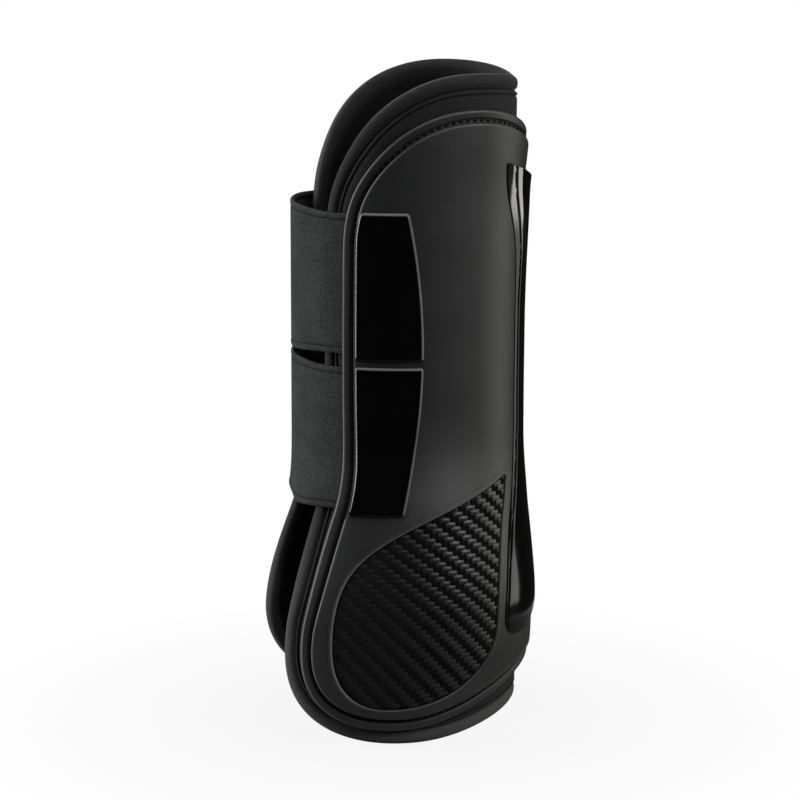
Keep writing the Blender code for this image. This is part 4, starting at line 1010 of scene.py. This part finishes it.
def strapPiece(which, word):
    # plan lines stacked up the width, with a rounded section carried along them
    low, high = strapLevels(which)
    lines = np.array(hem["lines"]) / strap["width"]
    t = np.concatenate([lines, np.linspace(*hem["between"]), 1 - lines[::-1]])
    levels = low + t * (high - low)
    plan, heights = strapPlan(which, levels)
    along = np.gradient(plan, axis=0)
    out = unit(np.stack([along[..., 1], -along[..., 0]], -1))
    edge = np.minimum(t, 1 - t) * strap["width"]
    corner = 1 - (1 - np.clip(edge / hem["rounding"], 0, 1)) ** 2
    swell = strap["thick"] / 2 * np.sqrt(np.clip(corner, hem["least"], 1))
    swell += hem["ridgeHeight"] * bell(edge, *hem["ridge"]) - hem["seamDepth"] * bell(edge, *hem["seam"])
    # painted shade along the seam
    groove = -hem["paintedShadeShare"] * bell(edge, *hem["paintedShade"])
    sides = (plan + sign * swell[:, None] * out for sign in (1, -1))
    face, back = (np.concatenate([side, heights[..., None]], -1) for side in sides)
    section = np.hstack([face, back[:, ::-1]])
    index = np.arange(len(plan) * section.shape[1]).reshape(len(plan), -1)
    count = len(levels)
    caps = []
    for row in index[[0, -1]]:
        top, under = row[:count], row[count:][::-1]
        caps.append(np.stack([top[:-1], top[1:], under[1:], under[:-1]], -1))
    faces = np.vstack([tubeFaces(index), caps[0], caps[1][:, ::-1]])
    steps = np.linalg.norm(np.diff(plan, axis=0), axis=-1)
    run = np.vstack([np.zeros((1, count)), np.cumsum(steps, axis=0)])
    sheet = np.stack([np.hstack([v, v[:, ::-1]]) for v in (run, heights)], -1)
    marks = np.broadcast_to(np.concatenate([groove, groove[::-1]]), index.shape)
    piece = makePiece(word + "StrapWeb", section, faces, sheet, 60, marks)
    finishPiece(piece, elasticWeb, "elastic", None, word + "_strap", word + "_strap_root")
    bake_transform(piece)


for which, word in enumerate(strapWords):
    strapPiece(which, word)
print("straps built")

# Closure on the lateral side: tab, hook patch, loop patch and the tape over the fold

closure = dict(
    tabLength=36.0, endWidth=34.0, soften=1.0, tabGrid=(50, 36), stitchInset=2.0, stitchLift=7.05,
    hookInset=3.0, hookGrid=(46, 30), loopInset=7.0, loopOverrun=1.2, loopSoften=1.8, loopGrid=(54, 44),
)
fold = dict(
    reach=6.5, margin=0.15, taper=2.3, bend=0.6, soften=0.5, grid=(60, 16), lift=7.3, bendReach=2.4,
    stitchInset=1.8, stitchLift=7.9, stitchBelow=4.0, stitchAbove=3.5,
)
tabThread = dict(pitch=2.9, length=2.2, thick=0.55, arch=0.25)
tabProfile = [
    (3.4, 7.3), (2.6, 7.3), (2.3, 7.24), (2.0, 7.1), (1.7, 7.24), (1.4, 7.3), (0.5, 7.28), (0.15, 7.15),
    (0.0, 6.9), (0.0, 6.3), (0.15, 6.05), (0.5, 5.9), (3.4, 5.9),
]
hookProfile = [(1.2, 5.4), (0.1, 5.4), (0.0, 5.3), (0.0, 4.65), (0.3, 4.45), (1.2, 4.4)]
loopProfile = [
    (2.4, 3.8), (1.4, 3.8), (1.1, 3.7), (0.9, 3.62), (0.7, 3.72), (0.4, 3.7), (0.0, 3.4), (0.0, 2.9),
    (2.4, 2.8),
]
foldProfile = [
    (1.5, 8.02), (1.0, 8.0), (0.5, 7.95), (0.2, 7.85), (0.03, 7.7), (0.0, 7.5), (0.05, 7.36), (0.3, 7.33),
    (1.5, 7.33),
]


def closureLoop(which, startAt, margin, soften):  # tapered outline with a round end, and its four corners
    low, high = strapLevels(which)
    middle, halfEnd = (low + high) / 2, closure["endWidth"] / 2 - margin
    levels = np.linspace(high - margin, low + margin, stretch)
    wide = np.stack([startAt(levels), levels], 1)
    end = float(tabStart(middle)) - closure["tabLength"] + margin
    bend = np.linspace(-math.pi / 2, math.pi / 2, stretch)
    tip = np.stack([end + halfEnd / 2 * (1 - np.cos(bend)), middle + halfEnd * np.sin(bend)], 1)
    loop = softLoop(np.vstack([wide, tip]) * [-1, 1], soften)
    return loop, np.array([wide[0], wide[-1], tip[0], tip[-1]]) * [-1, 1]


def closurePieces(which, word):  # tab with a line of stitches, hook patch under it, loop patch on the shell
    gap, inset, soften = strap["foldGap"], closure["hookInset"], closure["soften"]
    loop, corners = closureLoop(which, lambda z: tabStart(z) - gap, 0.0, soften)
    ring = ringOnSides(loop, corners, closure["tabGrid"])
    tab = sheetBody(word + "StrapTab", ring, closure["tabGrid"], tabProfile, sharp=60)
    finishPiece(tab, glossBlack, "gloss", word + "_tab", word + "_strap_tab")
    line = evenLoop(insetLoop(loop, closure["stitchInset"]), tabThread["pitch"])
    stitchLine(word + "TabStitches", line, closure["stitchLift"], tabThread, word + "_tab")
    loop, corners = closureLoop(which, lambda z: tabStart(z) - gap - inset, inset, soften)
    ring = ringOnSides(loop, corners, closure["hookGrid"])
    hook = sheetBody(word + "HookPatch", ring, closure["hookGrid"], hookProfile)
    finishPiece(hook, pileTape, "hook_and_loop", word + "_tab", word + "_hook_patch")
    edgeLine, overrun = (lambda z: insideEdge(z, closure["loopInset"])), closure["loopOverrun"]
    loop, corners = closureLoop(which, edgeLine, -overrun, closure["loopSoften"])
    ring = ringOnSides(insetLoop(loop, fitGap), corners, closure["loopGrid"])
    patch = sheetBody(word + "LoopPatch", ring, closure["loopGrid"], loopProfile)
    finishPiece(patch, pileTape, "hook_and_loop", "boot", word + "_loop_patch")


def foldStrip(which, word):
    # binding tape sewn over the fold between strap and tab
    low, high = strapLevels(which)
    gap, reach = strap["foldGap"], fold["reach"]
    rows = np.linspace(low + fold["margin"], high - fold["margin"], stretch)
    taper = np.linspace(high - fold["taper"], low + fold["taper"], stretch)
    strapSide = np.stack([-tabStart(rows) - reach, rows], 1)
    tabSide = np.stack([-tabStart(taper) + gap + reach, taper], 1)
    turns = np.stack([-tabStart(rows[[-1, 0]]) + gap + fold["bend"], rows[[-1, 0]]], 1)
    loop = softLoop(np.vstack([strapSide, turns[:1], tabSide, turns[1:]]), fold["soften"])
    ring = ringOnSides(loop, [strapSide[-1], strapSide[0], tabSide[-1], tabSide[0]], fold["grid"])
    strip = sheetBody(word + "FoldStrip", ring, fold["grid"], foldProfile, sharp=60)
    finishPiece(strip, elasticWeb, "elastic", None)
    levels, middle = np.array([low, high]), (low + high) / 2
    ends = onLeg(-tabStart(levels) + gap / 2, levels, fold["lift"])
    axis, arc = unit(ends[1] - ends[0]), -float(tabStart(middle)) + gap / 2
    way = onLeg(arc + 1, middle, fold["lift"]) - onLeg(arc, middle, fold["lift"])
    way = fold["bendReach"] * unit(way - (way @ axis) * axis)
    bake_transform(strip)
    rows = np.arange(low + fold["stitchBelow"], high - fold["stitchAbove"], tabThread["pitch"])
    inset = reach - fold["stitchInset"]
    for part, shift in (("strap", -inset), ("tab", gap + inset)):
        line = np.stack([-tabStart(rows) + shift, rows], 1)
        name = word + part.title() + "FoldStitches"
        stitchLine(name, line, fold["stitchLift"], tabThread, word + "_" + part)


for which, word in enumerate(strapWords):
    closurePieces(which, word)
    foldStrip(which, word)
print("closure built")

# Camera at the photo's view, pale floor and soft studio light, with places and sizes in metres
# In room and ground, a pair is where a change begins and where it ends

view = dict(  # lens and sensor in millimetres
    place=(-0.1329, -1.2646, 0.3893), target=(0, 0, 0.1187), lens=161.5, sensor=36.0,
)
lamps = dict(  # place, target, width, height, power and colour
    leftBox=((-1.4, 0.3, 0.35), (0, 0, 0.12), 0.5, 1.2, 32, (1, 1, 1)),
    rightBox=((1.35, 0.05, 0.4), (0, 0, 0.12), 0.8, 1.5, 9.6, (1, 1, 0.9)),
    frontBox=((1.0, -0.8, 0.7), (0, 0, 0.1), 0.6, 0.5, 10, (1, 1, 1)),
    topBox=((-0.1, -0.4, 1.6), (0, 0, 0.1), 1.2, 0.9, 14, (1, 1, 1)),
    frontTopBox=((0.35, -1.0, 1.0), (0, 0, 0.1), 0.6, 0.4, 2.5, (1, 1, 1)),
)
room = dict(
    front=(0.12, 0.12, 0.12), behind=(0.03, 0.03, 0.03), span=(0.25, 0.95), strength=0.5,
    backdrop=(0.965, 1.0),
)
ground = dict(
    radius=0.18, points=96, color=(0.18, 0.18, 0.18), rough=0.85, shadow=(0.05, 0.17), least=0.9,
    mirrored=(0.174, 0.18),
)


def placeAimed(name, data, place, target):  # object whose -Z axis points at the target
    thing = bpy.data.objects.new(name, data)
    bpy.context.scene.collection.objects.link(thing)
    thing.location = place
    thing.rotation_euler = (Vector(target) - thing.location).to_track_quat("-Z", "Y").to_euler()
    return thing


camera = placeAimed("camera", bpy.data.cameras.new("camera"), view["place"], view["target"])
camera.data.lens, camera.data.sensor_width = view["lens"], view["sensor"]
bpy.context.scene.camera = camera

for name, (place, target, width, height, power, color) in lamps.items():
    lamp = bpy.data.lights.new(name, "AREA")
    lamp.shape = "RECTANGLE"
    lamp.size, lamp.size_y, lamp.energy, lamp.color = width, height, power, color
    placeAimed(name, lamp, place, target)


def studioWorld():
    # white to the camera, and to mirrored rays that go almost straight back; else a dim room, darker behind
    world = bpy.data.worlds.new("studio")
    bpy.context.scene.world = world
    world.use_nodes = True
    tree = world.node_tree
    back = addNode(tree, "SeparateXYZ", Vector=addNode(tree, "TexCoord").outputs["Generated"]).outputs["Y"]
    behind = mathNode(tree, "ADD", mathNode(tree, "MULTIPLY", back, 0.5), 0.5)
    dim, white = tree.nodes["Background"], addNode(tree, "Background", Color=(1, 1, 1, 1))
    grey = shadeBetween(tree, behind, *room["span"], room["front"], room["behind"])
    setInput(tree, dim.inputs["Color"], grey)
    setInput(tree, dim.inputs["Strength"], room["strength"])
    path = addNode(tree, "LightPath").outputs
    backdrop = spreadBetween(tree, back, *room["backdrop"], 0.0, 1.0)
    mirrored = mathNode(tree, "MULTIPLY", path["Is Glossy Ray"], backdrop)
    seen = mathNode(tree, "MAXIMUM", path["Is Camera Ray"], path["Is Transmission Ray"])
    mixShaders(tree, mathNode(tree, "MAXIMUM", seen, mirrored), dim, white, "World Output")


def paleFloor():  # pale disc that keeps the shadow near the boot and fades to white away from it
    turn = np.linspace(0, 2 * math.pi, ground["points"], endpoint=False)
    disc = ground["radius"] * np.stack([np.cos(turn), np.sin(turn), np.zeros(len(turn))], 1)
    mesh = bpy.data.meshes.new("floor")
    mesh.from_pydata(disc.tolist(), [], [list(range(len(turn)))])
    floor = bpy.data.objects.new("floor", mesh)
    bpy.context.scene.collection.objects.link(floor)
    made = newMaterial("paleFloor", ground["color"], ground["rough"])
    tree = made.node_tree
    away = addNode(tree, "VectorMath", operation="LENGTH", Vector=addNode(tree, "TexCoord").outputs["Object"])
    fade = spreadBetween(tree, away.outputs["Value"], *ground["shadow"], ground["least"], 1.0)
    far = spreadBetween(tree, away.outputs["Value"], *ground["mirrored"], 0.0, 1.0)
    path = addNode(tree, "LightPath").outputs
    seen = mathNode(tree, "MULTIPLY", path["Is Camera Ray"], fade)
    mirrored = mathNode(tree, "MULTIPLY", path["Is Glossy Ray"], far)
    white = addNode(tree, "Emission", Strength=1.0)
    lit = tree.nodes["Principled BSDF"]
    mixShaders(tree, mathNode(tree, "MAXIMUM", seen, mirrored), lit, white, "Material Output")
    mesh.materials.append(made)


studioWorld()
paleFloor()
bpy.context.scene.view_settings.view_transform = "Standard"
print("camera, light and floor set")

bpy.context.view_layer.update()
